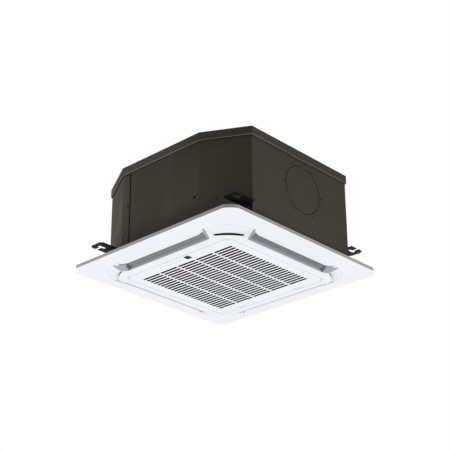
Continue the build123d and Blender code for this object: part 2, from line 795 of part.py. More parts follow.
with BuildPart() as grille:
    with BuildSketch(Plane.XY.offset(face_height)):
        RectangleRounded(2 * grille_half, 2 * grille_half, grille_corner)
    extrude(amount=grille_thickness)
    # slots
    with BuildSketch(Plane.XY.offset(face_height)):
        with GridLocations(slot_column_pitch, slot_row_pitch, slot_columns, slot_rows):
            Rectangle(slot_length, slot_width)
    extrude(amount=grille_thickness, mode=Mode.SUBTRACT)
    # edge wall
    with BuildSketch(Plane.XY.offset(grille_inner)):
        RectangleRounded(2 * grille_half, 2 * grille_half, grille_corner)
        inner_half = grille_half - grille_edge_wall
        RectangleRounded(
            2 * inner_half, 2 * inner_half, grille_corner - grille_edge_wall, mode=Mode.SUBTRACT
        )
    extrude(amount=grille_edge_height - grille_thickness)
    # ribs between the columns of slots
    with BuildSketch(Plane.XY.offset(grille_inner)):
        with GridLocations(slot_column_pitch, 0, slot_columns - 1, 1):
            Rectangle(rib_thickness, slot_rows * slot_row_pitch)
    extrude(amount=rib_height)
    # rails that hold the filter
    for side in (-1, 1):
        with BuildSketch(Plane.XZ.offset(-filter_rail_length / 2)):
            with Locations((side * (rail_x + rib_thickness / 2), grille_inner)):
                Rectangle(
                    rib_thickness, rail_top + rib_thickness - grille_inner, align=(Align.CENTER, Align.MIN)
                )
            with Locations((side * (rail_x + rib_thickness / 2 - filter_rail_lip / 2), rail_top)):
                Rectangle(rib_thickness + filter_rail_lip, rib_thickness, align=(Align.CENTER, Align.MIN))
        extrude(amount=filter_rail_length)
    # hinge ears
    for side in (-1, 1):
        for edge in (-ear_shift - hinge_ear, ear_shift):
            with BuildSketch(Plane.YZ.offset(side * hinge_spacing / 2 + edge)):
                with Locations((hinge_y, hinge_z)):
                    RegularPolygon(hinge_boss_radius, round_sides)
                    Rectangle(2 * hinge_boss_radius, hinge_rise, align=(Align.CENTER, Align.MAX))
                    Circle(hinge_pin_radius + pin_clearance, mode=Mode.SUBTRACT)
            extrude(amount=hinge_ear)
        # the edge wall is open where a hinge arm passes as the grille swings
        with BuildSketch(Plane.XY.offset(grille_inner)):
            with Locations((side * hinge_spacing / 2, -grille_half)):
                Rectangle(hinge_arm_width + 2 * hinge_ear, 3 * grille_edge_wall)
        extrude(amount=grille_edge_height, mode=Mode.SUBTRACT)
    # latch notches in the rear edge, with guides at both sides of each latch
    for side in (-1, 1):
        with BuildSketch(Plane.XY.offset(face_height)):
            with Locations((side * latch_offset, grille_half)):
                Rectangle(2 * latch_left_edge, 2 * latch_notch_depth)
        extrude(amount=grille_thickness + latch_height + 2 * seat_gap, mode=Mode.SUBTRACT)
        for edge in (-1, 1):
            guide_x = side * latch_offset + edge * (latch_left_edge + rib_thickness / 2)
            lip_x = guide_x - edge * latch_guide_lip / 2
            guide_y = latch_back + latch_guide_length / 2
            with BuildSketch(Plane.XY.offset(grille_inner)):
                with Locations((guide_x, guide_y)):
                    Rectangle(rib_thickness, latch_guide_length)
            extrude(amount=latch_height + 2 * seat_gap + rib_thickness)
            with BuildSketch(Plane.XY.offset(latch_bottom + latch_height + seat_gap)):
                with Locations((lip_x, guide_y)):
                    Rectangle(rib_thickness + latch_guide_lip, latch_guide_length)
            extrude(amount=rib_thickness)
    # receiver window and indicator openings, and two posts for the display board
    with BuildSketch(Plane.XY.offset(face_height)):
        with Locations((window_x, window_y)):
            RectangleRounded(window_size, window_size, window_corner)
        with Locations((lens_first_x + (lens_count - 1) * lens_pitch / 2, window_y)):
            with GridLocations(lens_pitch, 1, lens_count, 1):
                Rectangle(lens_size, lens_width)
    extrude(amount=grille_thickness, mode=Mode.SUBTRACT)
    with BuildSketch(Plane.XY.offset(grille_inner)):
        with Locations((display_board_x, window_y)):
            with GridLocations(display_board_length - 8, 1, 2, 1):
                RegularPolygon(board_post_radius, screw_sides)
    extrude(amount=board_post)
grille.part.label = "grille"
export_step(grille.part, "parts/grille.step")

pin_length = hinge_arm_width + 2 * joint_gap + 2 * hinge_ear
with BuildPart() as hinge_pins:
    for side in (-1, 1):
        with BuildSketch(Plane.YZ.offset(side * hinge_spacing / 2 - pin_length / 2)):
            with Locations((hinge_y, hinge_z)):
                Circle(hinge_pin_radius)
        extrude(amount=pin_length)
hinge_pins.part.label = "hinge_pins"
export_step(hinge_pins.part, "parts/hinge_pins.step")

for name, side in {"left": -1, "right": 1}.items():
    with BuildPart() as latch:
        with BuildSketch(Plane.XY.offset(latch_bottom)):
            with Locations((side * latch_offset, latch_front)):
                Rectangle(latch_width, latch_body_depth, align=(Align.CENTER, Align.MAX))
        extrude(amount=latch_height)
        with BuildSketch(Plane.XY.offset(face_height + seat_gap)):
            with Locations((side * latch_offset, latch_front)):
                Rectangle(latch_width, latch_tab_depth, align=(Align.CENTER, Align.MAX))
        extrude(amount=grille_thickness)
        with BuildSketch(Plane.XY.offset(latch_bottom + 1)):
            with Locations((side * latch_offset, latch_front)):
                Rectangle(
                    latch_nose_width, opening_half - seat_gap - latch_front, align=(Align.CENTER, Align.MIN)
                )
        extrude(amount=latch_height - 2)
        # finger ribs under the tab's back edge
        with BuildSketch(Plane.XY.offset(latch_bottom + latch_height)):
            with Locations((side * latch_offset, latch_back + latch_body_depth / 3)):
                with GridLocations(1, 3, 1, 3):
                    Rectangle(latch_width / 2, 1)
        extrude(amount=1)
    latch.part.label = f"latch_{name}"
    export_step(latch.part, f"parts/latch_{name}.step")

with BuildPart() as receiver_window:
    with BuildSketch(Plane.XY.offset(face_height)):
        with Locations((window_x, window_y)):
            RectangleRounded(window_size - seat_gap, window_size - seat_gap, window_corner)
    extrude(amount=grille_thickness + board_post)
receiver_window.part.label = "receiver_window"
export_step(receiver_window.part, "parts/receiver_window.step")

with BuildPart() as indicator_lenses:
    with BuildSketch(Plane.XY.offset(face_height)):
        with Locations((lens_first_x + (lens_count - 1) * lens_pitch / 2, window_y)):
            with GridLocations(lens_pitch, 1, lens_count, 1):
                Rectangle(lens_size - seat_gap, lens_width - seat_gap)
    extrude(amount=grille_thickness + board_post)
indicator_lenses.part.label = "indicator_lenses"
export_step(indicator_lenses.part, "parts/indicator_lenses.step")

with BuildPart() as display_board:
    with BuildSketch(Plane.XY.offset(grille_inner + board_post)):
        with Locations((display_board_x, window_y)):
            Rectangle(display_board_length, display_board_width)
    extrude(amount=board_thickness)
display_board.part.label = "display_board"
export_step(display_board.part, "parts/display_board.step")

filter_length = filter_front - filter_back
filter_middle = (filter_front + filter_back) / 2
with BuildPart() as filter_frame:
    with BuildSketch(Plane.XY.offset(filter_bottom)):
        with Locations((0, filter_middle)):
            Rectangle(2 * filter_half_width, filter_length)
            cell_x = (2 * filter_half_width - filter_bar) / filter_columns
            cell_y = (filter_length - filter_bar) / filter_rows
            with GridLocations(cell_x, cell_y, filter_columns, filter_rows):
                Rectangle(cell_x - filter_bar, cell_y - filter_bar, mode=Mode.SUBTRACT)
    extrude(amount=filter_thickness)
    with BuildSketch(Plane.XY.offset(filter_bottom + filter_thickness - filter_net)):
        with Locations((0, filter_middle)):
            Rectangle(2 * filter_half_width - filter_bar, filter_length - filter_bar)
    extrude(amount=filter_net, mode=Mode.SUBTRACT)
filter_frame.part.label = "filter_frame"
export_step(filter_frame.part, "parts/filter_frame.step")

with BuildPart() as filter_mesh:
    with BuildSketch(Plane.XY.offset(filter_bottom + filter_thickness - filter_net)):
        with Locations((0, filter_middle)):
            Rectangle(2 * filter_half_width - filter_bar - seat_gap, filter_length - filter_bar - seat_gap)
    extrude(amount=filter_net)
filter_mesh.part.label = "filter_mesh"
export_step(filter_mesh.part, "parts/filter_mesh.step")

# ====================================================================================
# Body: sheet steel
# ====================================================================================

back_of_seam = Plane.YZ.offset(seam_x)

with BuildPart() as top_pan:
    with BuildSketch(Plane.XY.offset(wall_top)):
        add(body_outline(0))
    extrude(amount=sheet)
    with BuildSketch(Plane.XY.offset(cap_top - cap_lip)):
        add(body_outline(0))
        add(body_outline(sheet), mode=Mode.SUBTRACT)
    extrude(amount=cap_lip)
    # the lip runs a little lower over the duct knock-out
    with BuildSketch(Plane.XY.offset(cap_top - cap_lip - lip_tab_drop)):
        with Locations((cap_half_x, lip_tab_middle)):
            Rectangle(sheet, lip_tab_length, align=(Align.MAX, Align.CENTER))
    extrude(amount=lip_tab_drop)
    # pressed beads, hollow underneath
    with BuildSketch(Plane.XY.offset(cap_top)):
        with PolarLocations(bead_ring, 4, start_angle=45):
            Rectangle(bead_width, bead_length)
    extrude(amount=bead_height)
    with BuildSketch(Plane.XY.offset(wall_top)):
        with PolarLocations(bead_ring, 4, start_angle=45):
            Rectangle(bead_width - 2 * sheet, bead_length - 2 * sheet)
    extrude(amount=bead_height, mode=Mode.SUBTRACT)
    # welded studs for the fan motor
    with BuildSketch(Plane.XY.offset(wall_top)):
        with PolarLocations(motor_lug_ring, stud_count, start_angle=90):
            Circle(stud_radius)
    extrude(amount=-stud_length)
    # screw holes in the lip, front and right
    with BuildSketch(Plane.XZ.offset(wall_y)):
        with Locations((lip_front_hole_x, lip_hole_z)):
            RegularPolygon(lip_hole_radius, round_sides)
    extrude(amount=2 * cap_overhang, mode=Mode.SUBTRACT)
    with BuildSketch(Plane.YZ.offset(wall_x)):
        for hole_y in (lip_right_hole_1, lip_right_hole_2, lip_right_hole_3):
            with Locations((hole_y, lip_hole_z)):
                RegularPolygon(lip_hole_radius, round_sides)
    extrude(amount=2 * cap_overhang, mode=Mode.SUBTRACT)
top_pan.part.label = "top_pan"
export_step(top_pan.part, "parts/top_pan.step")

# the whole ring of side plates, before it is parted at the seams
with BuildPart() as side_ring:
    with BuildSketch(Plane.XY.offset(body_floor)):
        add(body_outline(cap_overhang))
        add(body_outline(liner_inset), mode=Mode.SUBTRACT)
    extrude(amount=wall_top - body_floor)
    with BuildSketch(Plane.XY.offset(body_floor)):
        add(body_outline(liner_inset))
        add(body_outline(cap_overhang + return_flange), mode=Mode.SUBTRACT)
        add(outlet_row(0, duct_inner - duct_wall, duct_width + 2 * duct_wall, duct_half_length + duct_wall),
            mode=Mode.SUBTRACT)
        for turn in screw_turns:
            with Locations(Vector(screw_along, -screw_out).rotate(Axis.Z, turn)):
                Circle(panel_screw_radius + screw_clearance, mode=Mode.SUBTRACT)
    extrude(amount=sheet)

with BuildPart() as casing_wrap:
    add(side_ring.part)
    split(bisect_by=back_of_seam.offset(seam_gap), keep=Keep.TOP)
    # joggled laps behind the left plate's edges
    with BuildSketch(Plane.XY.offset(pan_top + seat_gap)):
        for side in (-1, 1):
            with Locations((seam_x + lap_root, side * (wall_y - sheet))):
                lap_align = (Align.MAX, Align.MAX if side > 0 else Align.MIN)
                Rectangle(lap_width + lap_root, sheet, align=lap_align)
    extrude(amount=wall_top - pan_top - 2 * seat_gap)
    # round duct knock-out: a slit broken by bridges, and its ring of screw holes
    duct_plane = Plane.YZ.offset(wall_x - 2 * sheet)
    with BuildSketch(duct_plane):
        with Locations((duct_y, duct_z)):
            Circle(duct_radius)
            Circle(duct_radius - duct_slit, mode=Mode.SUBTRACT)
            with PolarLocations(duct_radius, duct_bridges, start_angle=90):
                Rectangle(4 * duct_slit, duct_bridge, mode=Mode.SUBTRACT)
            with PolarLocations(duct_hole_ring, duct_hole_count):
                Circle(duct_hole_radius)
    extrude(amount=3 * sheet, mode=Mode.SUBTRACT)
    # small holes in the front face
    with BuildSketch(Plane.XZ.offset(wall_y - 3 * sheet)):
        with Locations((front_plug_x, front_plug_z)):
            RegularPolygon(front_plug_radius, round_sides)
        with Locations((front_hole_1_x, front_hole_1_z), (front_hole_2_x, front_hole_2_z)):
            RegularPolygon(screw_radius, round_sides)
    extrude(amount=4 * sheet, mode=Mode.SUBTRACT)
casing_wrap.part.label = "casing_wrap"
export_step(casing_wrap.part, "parts/casing_wrap.step")

left_bevel = Plane(
    origin=(-cap_half_x, -(cap_half_y - cap_leg_y), 0),
    x_dir=(cap_leg_x, -cap_leg_y, 0),
    z_dir=(-cap_leg_y, -cap_leg_x, 0),
)
with BuildPart() as left_plate:
    add(side_ring.part)
    split(bisect_by=back_of_seam, keep=Keep.BOTTOM)
    # cut-outs in the pipe side: pipes, drain, cable
    with BuildSketch(Plane.YZ.offset(-wall_x - sheet)):
        with Locations((pipe_y, (gas_height + liquid_height) / 2)):
            Rectangle(2 * (gas_radius + pipe_hole_margin), liquid_height - gas_height + 4 * gas_radius)
        with Locations((hose_y, drain_height)):
            Circle(drain_neck_radius + seat_gap)
        with Locations((grommet_y, grommet_z)):
            Circle(grommet_neck_radius + seat_gap)
    extrude(amount=3 * sheet, mode=Mode.SUBTRACT)
    # holes seen in the left bevel and beside the seam
    with BuildSketch(left_bevel.offset(-2 * cap_overhang)):
        with Locations((bevel_hole_1_along, bevel_hole_z), (bevel_hole_2_along, bevel_hole_z)):
            RegularPolygon(screw_radius, round_sides)
        with Locations((bevel_hook_slot_along, bevel_hook_slot_z)):
            Rectangle(bevel_slot_width, bevel_hook_slot_height)
        with Locations((bevel_vent_along, bevel_vent_z)):
            Rectangle(bevel_slot_width, bevel_vent_height)
    extrude(amount=3 * cap_overhang, mode=Mode.SUBTRACT)
    with BuildSketch(Plane.XZ.offset(wall_y - 3 * sheet)):
        with Locations((seam_hole_x, seam_hole_z)):
            RegularPolygon(seam_hole_radius, round_sides)
    extrude(amount=4 * sheet, mode=Mode.SUBTRACT)
left_plate.part.label = "left_plate"
export_step(left_plate.part, "parts/left_plate.step")

with BuildPart() as pipe_cover:
    with BuildSketch(Plane.YZ.offset(-wall_x - sheet)):
        with Locations((pipe_y, (pipe_plate_bottom + pipe_plate_top) / 2)):
            Rectangle(2 * pipe_plate_half_width, pipe_plate_top - pipe_plate_bottom)
        with Locations((pipe_y, gas_height)):
            Circle(gas_radius + seat_gap, mode=Mode.SUBTRACT)
        with Locations((pipe_y, liquid_height)):
            Circle(liquid_radius + seat_gap, mode=Mode.SUBTRACT)
    extrude(amount=sheet)
pipe_cover.part.label = "pipe_cover"
export_step(pipe_cover.part, "parts/pipe_cover.step")


def bevel_ways(side_y):
    """Unit vectors square to a front or rear bevel and along it, for the side at +X, +Y."""
    leg_y = cap_leg_y if side_y < 0 else cap_rear_leg_y
    return Vector(leg_y, cap_leg_x).normalized(), Vector(cap_leg_x, -leg_y).normalized()


def bevel_plane(side_x, side_y, along, height, lift=0.0):
    """An upright plane on one bevel of the side plates, at a distance from its front or rear end."""
    outward, way = bevel_ways(side_y)
    start = Vector(cap_half_x - cap_leg_x, cap_half_y) - outward * (cap_overhang - lift)
    place = start + way * along
    return Plane(
        origin=(side_x * place.X, side_y * place.Y, height),
        x_dir=(-side_y * outward.Y, side_x * outward.X, 0),
        z_dir=(side_x * outward.X, side_y * outward.Y, 0),
    )


hanger_sides = {
    "front_right": (1, -1), "rear_right": (1, 1), "rear_left": (-1, 1), "front_left": (-1, -1),
}
hanger_screw_places = []
for name, (side_x, side_y) in hanger_sides.items():
    middle = hanger_right_x if side_x > 0 else hanger_left_x
    end = hanger_right_end if side_x > 0 else hanger_left_end
    leg_y = cap_leg_y if side_y < 0 else cap_rear_leg_y
    hook_depth = end - (cap_half_y - leg_y)
    last_along = hypot(cap_leg_x, leg_y) - hanger_flange_width / 2 - hanger_flange_margin
    along = min((middle - (cap_half_x - cap_leg_x)) / bevel_ways(side_y)[1].X, last_along)
    with BuildPart() as hanger:
        with BuildSketch(Plane.XY.offset(hanger_height - hanger_plate / 2)) as plate:
            with Locations((side_x * middle, side_y * end)):
                plate_align = (Align.CENTER, Align.MAX if side_y > 0 else Align.MIN)
                Rectangle(hanger_width, hook_depth, align=plate_align)
            fillet(plate.vertices().sort_by(lambda v: -side_y * v.Y)[0:2], hanger_corner)
            slot_x = side_x * (middle + hanger_slot_shift)
            slot_y = side_y * (end - hanger_slot_margin - hanger_slot_length / 2)
            with Locations((slot_x, slot_y)):
                SlotOverall(hanger_slot_length, hanger_slot_width, rotation=90, mode=Mode.SUBTRACT)
            throat_y = side_y * (end - hanger_throat_margin - hanger_throat / 2)
            with Locations((slot_x, throat_y)):
                throat_align = (Align.MIN if side_x > 0 else Align.MAX, Align.CENTER)
                Rectangle(hanger_width, hanger_throat, align=throat_align, mode=Mode.SUBTRACT)
            add(body_outline(cap_overhang), mode=Mode.SUBTRACT)
        extrude(amount=hanger_plate)
        flange_top = hanger_height + hanger_plate / 2
        with BuildSketch(bevel_plane(side_x, side_y, along, flange_top - hanger_flange_height / 2)):
            Rectangle(hanger_flange_width, hanger_flange_height)
        extrude(amount=hanger_plate)
    hanger.part.label = f"hanger_{name}"
    export_step(hanger.part, f"parts/hanger_{name}.step")
    for shift in (-1, 1):
        hanger_screw_places.append(
            bevel_plane(
                side_x, side_y, along + shift * hanger_flange_width / 4,
                flange_top - hanger_flange_height * 0.6, hanger_plate,
            )
        )

# all the small hex-headed screws outside the body
with BuildPart() as body_screws:
    for place in hanger_screw_places:
        with BuildSketch(place):
            RegularPolygon(screw_head_radius, 6)
        extrude(amount=screw_head_height)
    with BuildSketch(bevel_plane(1, -1, case_screw_along, case_screw_height)):
        RegularPolygon(screw_head_radius, 6)
    extrude(amount=screw_head_height)
    for side in (-1, 1):
        with BuildSketch(Plane.XZ.offset(-side * wall_y)):
            with Locations((seam_x - lap_width / 2, seam_screw_height)):
                RegularPolygon(screw_head_radius, 6)
        extrude(amount=-side * screw_head_height)
    with BuildSketch(Plane.YZ.offset(-wall_x - sheet)):
        with Locations((pipe_y, (pipe_plate_bottom + pipe_plate_top) / 2)):
            with GridLocations(1, pipe_plate_top - pipe_plate_bottom - 10, 1, 2):
                RegularPolygon(screw_head_radius, 6)
    extrude(amount=-screw_head_height)
body_screws.part.label = "body_screws"
export_step(body_screws.part, "parts/body_screws.step")

with BuildPart() as weld_nuts:
    with BuildSketch(Plane.XY.offset(body_floor + sheet)):
        for turn in screw_turns:
            with Locations(Vector(screw_along, -screw_out).rotate(Axis.Z, turn)):
                RegularPolygon(weld_nut_radius, screw_sides)
                Circle(panel_screw_radius + pin_clearance, mode=Mode.SUBTRACT)
    extrude(amount=weld_nut_top - body_floor - sheet)
weld_nuts.part.label = "weld_nuts"
export_step(weld_nuts.part, "parts/weld_nuts.step")

# ====================================================================================
# Body: foam, coil and drain pan
# ====================================================================================

pan_bottom = body_floor + sheet
with BuildPart() as casing_liner:
    with BuildSketch(Plane.XY.offset(pan_top)):
        add(body_outline(liner_inset))
        add(body_outline(hollow_inset), mode=Mode.SUBTRACT)
    extrude(amount=wall_top - pan_top)
    with BuildSketch(Plane.XY.offset(hollow_top)):
        add(body_outline(hollow_inset))
        RegularPolygon(motor_recess_radius, 2 * round_sides, mode=Mode.SUBTRACT)
    extrude(amount=liner_thickness)
    # relief behind the lapped seams
    with BuildSketch(Plane.XY.offset(pan_top)):
        for side in (-1, 1):
            with Locations((seam_x + lap_root + seat_gap, side * (wall_y - sheet))):
                lap_align = (Align.MAX, Align.MAX if side > 0 else Align.MIN)
                Rectangle(lap_width + lap_root + 2 * seat_gap, sheet + seat_gap, align=lap_align)
    extrude(amount=wall_top - pan_top, mode=Mode.SUBTRACT)
    with BuildSketch(Plane.YZ.offset(-wall_x)):
        with Locations((pipe_y, gas_height)):
            RegularPolygon(gas_radius + seat_gap, round_sides, major_radius=False)
        with Locations((pipe_y, liquid_height)):
            RegularPolygon(liquid_radius + seat_gap, round_sides, major_radius=False)
        with Locations((hose_y, drain_height)):
            RegularPolygon(drain_neck_radius + seat_gap, round_sides, major_radius=False)
        with Locations((grommet_y, grommet_z)):
            RegularPolygon(grommet_radius + seat_gap, round_sides, major_radius=False)
    extrude(amount=2 * liner_thickness, mode=Mode.SUBTRACT)
casing_liner.part.label = "casing_liner"
export_step(casing_liner.part, "parts/casing_liner.step")

with BuildPart() as drain_pan:
    with BuildSketch(Plane.XY.offset(pan_bottom)):
        add(body_outline(liner_inset + seat_gap))
        Circle(pan_hole_radius, mode=Mode.SUBTRACT)
        add(outlet_row(0, pan_slot_inner, pan_slot_width, duct_half_length), mode=Mode.SUBTRACT)
    extrude(amount=pan_top - pan_bottom)
    # trough under the coil
    with BuildSketch(Plane.XY.offset(trough_floor)):
        outer = coil_outer + trough_margin
        inner = coil_inner - trough_margin
        RectangleRounded(2 * outer, 2 * outer, coil_corner + coil_depth / 2 + trough_margin)
        RectangleRounded(
            2 * inner, 2 * inner, coil_corner - coil_depth / 2 - trough_margin, mode=Mode.SUBTRACT
        )
    extrude(amount=trough_depth, mode=Mode.SUBTRACT)
    # sump under the pump and its float
    with BuildSketch(Plane.XY.offset(sump_floor)):
        with Locations((pump_x, pump_y)):
            RegularPolygon(sump_radius, 2 * round_sides)
    extrude(amount=pan_top - sump_floor, mode=Mode.SUBTRACT)
    with BuildSketch(Plane.XY.offset(float_floor)):
        with Locations((float_x, float_y)):
            RegularPolygon(float_radius + float_margin, round_sides)
    extrude(amount=pan_top - float_floor, mode=Mode.SUBTRACT)
    # seat of the bell mouth's plate, and room for the weld nuts
    with BuildSketch(Plane.XY.offset(pan_bottom)):
        seat_half = bell_mouth_half + seat_gap
        RectangleRounded(2 * seat_half, 2 * seat_half, bell_mouth_corner)
    extrude(amount=body_floor + bell_plate - pan_bottom, mode=Mode.SUBTRACT)
    with BuildSketch(Plane.XY.offset(pan_bottom)):
        for turn in screw_turns:
            with Locations(Vector(screw_along, -screw_out).rotate(Axis.Z, turn)):
                RegularPolygon(weld_nut_radius + 1, screw_sides)
    extrude(amount=weld_nut_top + 1 - pan_bottom, mode=Mode.SUBTRACT)
drain_pan.part.label = "drain_pan"
export_step(drain_pan.part, "parts/drain_pan.step")

coil_top = hollow_top - seat_gap
with BuildPart() as coil_fins:
    with BuildSketch(Plane.XY.offset(trough_floor)):
        RectangleRounded(2 * coil_outer, 2 * coil_outer, coil_corner + coil_depth / 2)
        RectangleRounded(2 * coil_inner, 2 * coil_inner, coil_corner - coil_depth / 2, mode=Mode.SUBTRACT)
        with Locations((-coil_end, -coil_end)):
            Rectangle(coil_outer, coil_outer, align=(Align.MAX, Align.MAX), mode=Mode.SUBTRACT)
    extrude(amount=coil_top - trough_floor)
coil_fins.part.label = "coil_fins"
export_step(coil_fins.part, "parts/coil_fins.step")

# tube sheets and return bends on both cut ends of the coil
front_end = Plane(origin=(-coil_end, -coil_half, trough_floor), x_dir=(0, 1, 0), z_dir=(-1, 0, 0))
left_end = Plane(origin=(-coil_half, -coil_end, trough_floor), x_dir=(1, 0, 0), z_dir=(0, -1, 0))
with BuildPart() as coil_ends:
    for plane in (front_end, left_end):
        up = 1 if plane.y_dir.Z > 0 else -1
        with BuildSketch(plane):
            with Locations((0, up * (coil_top - trough_floor) / 2)):
                Rectangle(coil_depth, coil_top - trough_floor)
        extrude(amount=end_plate)
coil_ends.part.label = "coil_ends"
export_step(coil_ends.part, "parts/coil_ends.step")

with BuildPart() as return_bends:
    for plane in (front_end, left_end):
        up = 1 if plane.y_dir.Z > 0 else -1
        for row in (-1, 1):
            for step in range(bend_count):
                lower = bend_first + bend_pitch * step
                loop_plane = Plane(
                    origin=plane.from_local_coords((row * tube_row_pitch / 2, up * lower, end_plate)),
                    x_dir=plane.z_dir, z_dir=plane.x_dir,
                )
                rise = 1 if loop_plane.y_dir.Z > 0 else -1
                loop_radius = tube_pitch / 2
                turns = [pi * (corner / curve_steps - 0.5) for corner in range(curve_steps + 1)]
                corners = [
                    (tube_stub + loop_radius * cos(turn), rise * loop_radius * (1 + sin(turn)))
                    for turn in turns
                ]
                with BuildLine(loop_plane) as hairpin:
                    Polyline((0, 0), *corners, (0, rise * tube_pitch))
                add(tube(hairpin.line, tube_radius, tube_sides))
return_bends.part.label = "return_bends"
export_step(return_bends.part, "parts/return_bends.step")

# upright sheet that closes the gap between the coil ends
diagonal = Plane(origin=(0, 0, 0), x_dir=(-1, -1, 0), z_dir=(0, 0, 1))
baffle_out = (coil_end + coil_inner) / sqrt(2)
baffle_half = (coil_inner - coil_end) / sqrt(2)
with BuildPart() as corner_baffle:
    with BuildSketch(diagonal.offset(pan_top)):
        with Locations((baffle_out - sheet, 0)):
            Rectangle(sheet, 2 * (baffle_half - seat_gap), align=(Align.MIN, Align.CENTER))
    extrude(amount=coil_top - pan_top)
corner_baffle.part.label = "corner_baffle"
export_step(corner_baffle.part, "parts/corner_baffle.step")

# ====================================================================================
# Fan and motor
# ====================================================================================

with BuildPart() as bell_mouth:
    with BuildSketch(Plane.XY.offset(body_floor)):
        RectangleRounded(2 * bell_mouth_half, 2 * bell_mouth_half, bell_mouth_corner)
        Circle(bell_outer_radius, mode=Mode.SUBTRACT)
    extrude(amount=bell_plate)
    throat_outer = bell_throat_radius + bell_plate
    inner_face = quarter_curve((bell_outer_radius, body_floor), (bell_throat_radius, bell_curve_top))
    outer_face = quarter_curve(
        (bell_outer_radius, body_floor + bell_plate), (throat_outer, bell_curve_top)
    )
    with BuildSketch(Plane.XZ):
        with BuildLine():
            Polyline(
                *inner_face, (bell_throat_radius, bell_top), (throat_outer, bell_top),
                *reversed(outer_face), close=True,
            )
        make_face()
    revolve(axis=Axis.Z)
bell_mouth.part.label = "bell_mouth"
export_step(bell_mouth.part, "parts/bell_mouth.step")

hub_bottom = fan_hub_height - fan_plate
back_bottom = fan_back_height - fan_plate
# the shroud's curve starts upright at the inlet and ends level at the rim
shroud_start = (fan_radius, shroud_outer_height)
shroud_finish = (fan_inlet_radius, shroud_inlet_top)
shroud_under = quarter_curve(shroud_start, shroud_finish)
shroud_over = quarter_curve(
    (fan_radius, shroud_outer_height - fan_plate), (fan_inlet_radius + fan_plate, shroud_inlet_top)
)
shroud_mid = quarter_curve(
    (fan_radius, shroud_outer_height - fan_plate / 2),
    (fan_inlet_radius + fan_plate / 2, shroud_inlet_top),
)
blade_pressure = []
blade_suction = []
for step in range(1, curve_steps):
    share = step / curve_steps
    reach = blade_inner_radius + (fan_radius - blade_inner_radius) * share
    half_web = 2 * blade_thickness * share * (1 - share)
    camber = Vector(reach, 0).rotate(Axis.Z, -blade_sweep * share ** blade_curve)
    along_blade = Vector(1, 0).rotate(Axis.Z, -blade_sweep * share - blade_lean)
    across = along_blade.rotate(Axis.Z, 90) * half_web
    blade_pressure.append(camber + across)
    blade_suction.append(camber - across)
blade_tip = Vector(fan_radius, 0).rotate(Axis.Z, -blade_sweep)
with BuildSketch() as blade_outline:
    with BuildLine():
        Polyline(
            (blade_inner_radius, 0), *blade_pressure, blade_tip, *reversed(blade_suction),
            close=True,
        )
    make_face()

with BuildPart() as turbo_fan:
    # backward-curved blades, trimmed to the space between shroud and back plate
    with BuildSketch(Plane.XY.offset(shroud_inlet_bottom)):
        with PolarLocations(0, blade_count):
            add(blade_outline.sketch)
    extrude(amount=fan_back_height - shroud_inlet_bottom)
    with BuildSketch(Plane.XZ):
        with BuildLine():
            Polyline(
                *shroud_mid, (blade_inner_radius - 1, shroud_inlet_top + blade_edge_rise),
                (blade_inner_radius - 1, fan_back_height - fan_plate / 2),
                (fan_radius, fan_back_height - fan_plate / 2), close=True,
            )
        make_face()
    revolve(axis=Axis.Z, mode=Mode.INTERSECT)
    # hub: boss, dish under the motor and back plate
    with BuildSketch(Plane.XZ):
        with BuildLine():
            Polyline(
                (shaft_radius + pin_clearance, fan_hub_height - hub_boss_length),
                (hub_boss_radius, fan_hub_height - hub_boss_length),
                (hub_boss_radius, hub_bottom), (hub_dish_radius, hub_bottom),
                (hub_slope_radius, back_bottom), (fan_radius, back_bottom), (fan_radius, fan_back_height),
                (hub_slope_radius - fan_plate / 2, fan_back_height),
                (hub_dish_radius - fan_plate / 2, fan_hub_height),
                (shaft_radius + pin_clearance, fan_hub_height),
                close=True,
            )
        make_face()
    revolve(axis=Axis.Z)
    # shroud: inlet ring flaring out to the rim
    with BuildSketch(Plane.XZ):
        with BuildLine():
            Polyline(
                *shroud_under, (fan_inlet_radius, shroud_inlet_bottom),
                (fan_inlet_radius + fan_plate, shroud_inlet_bottom), *reversed(shroud_over),
                close=True,
            )
        make_face()
    revolve(axis=Axis.Z)
turbo_fan.part.label = "turbo_fan"
export_step(turbo_fan.part, "parts/turbo_fan.step")

shaft_top = motor_bottom + motor_bore_depth - seat_gap
with BuildPart() as motor_shaft:
    with BuildSketch(Plane.XY.offset(shaft_bottom)):
        Circle(shaft_radius)
    extrude(amount=shaft_top - shaft_bottom)
motor_shaft.part.label = "motor_shaft"
export_step(motor_shaft.part, "parts/motor_shaft.step")

with BuildPart() as fan_nut:
    with BuildSketch(Plane.XY.offset(fan_hub_height - hub_boss_length - fan_nut_height)):
        RegularPolygon(fan_nut_flats / 2, 6, major_radius=False)
        Circle(shaft_radius + pin_clearance, mode=Mode.SUBTRACT)
    extrude(amount=fan_nut_height)
fan_nut.part.label = "fan_nut"
export_step(fan_nut.part, "parts/fan_nut.step")

lug_bottom = wall_top - bush_length - motor_lug_thickness
with BuildPart() as fan_motor:
    with BuildSketch(Plane.XY.offset(motor_bottom)):
        Circle(motor_radius)
    extrude(amount=motor_top - motor_bottom)
    chamfer(fan_motor.edges().filter_by(GeomType.CIRCLE), motor_edge)
    with BuildSketch(Plane.XY.offset(lug_bottom)):
        with PolarLocations(motor_lug_ring, stud_count, start_angle=90):
            RegularPolygon(motor_lug_radius, round_sides)
        with PolarLocations(motor_lug_ring - motor_lug_radius, stud_count, start_angle=90):
            Rectangle(2 * motor_lug_radius, 2 * motor_lug_radius)
        with PolarLocations(motor_lug_ring, stud_count, start_angle=90):
            Circle(stud_radius + seat_gap, mode=Mode.SUBTRACT)
    extrude(amount=motor_lug_thickness)
    with BuildSketch(Plane.XY.offset(motor_bottom)):
        Circle(shaft_radius + pin_clearance)
    extrude(amount=motor_bore_depth, mode=Mode.SUBTRACT)
fan_motor.part.label = "fan_motor"
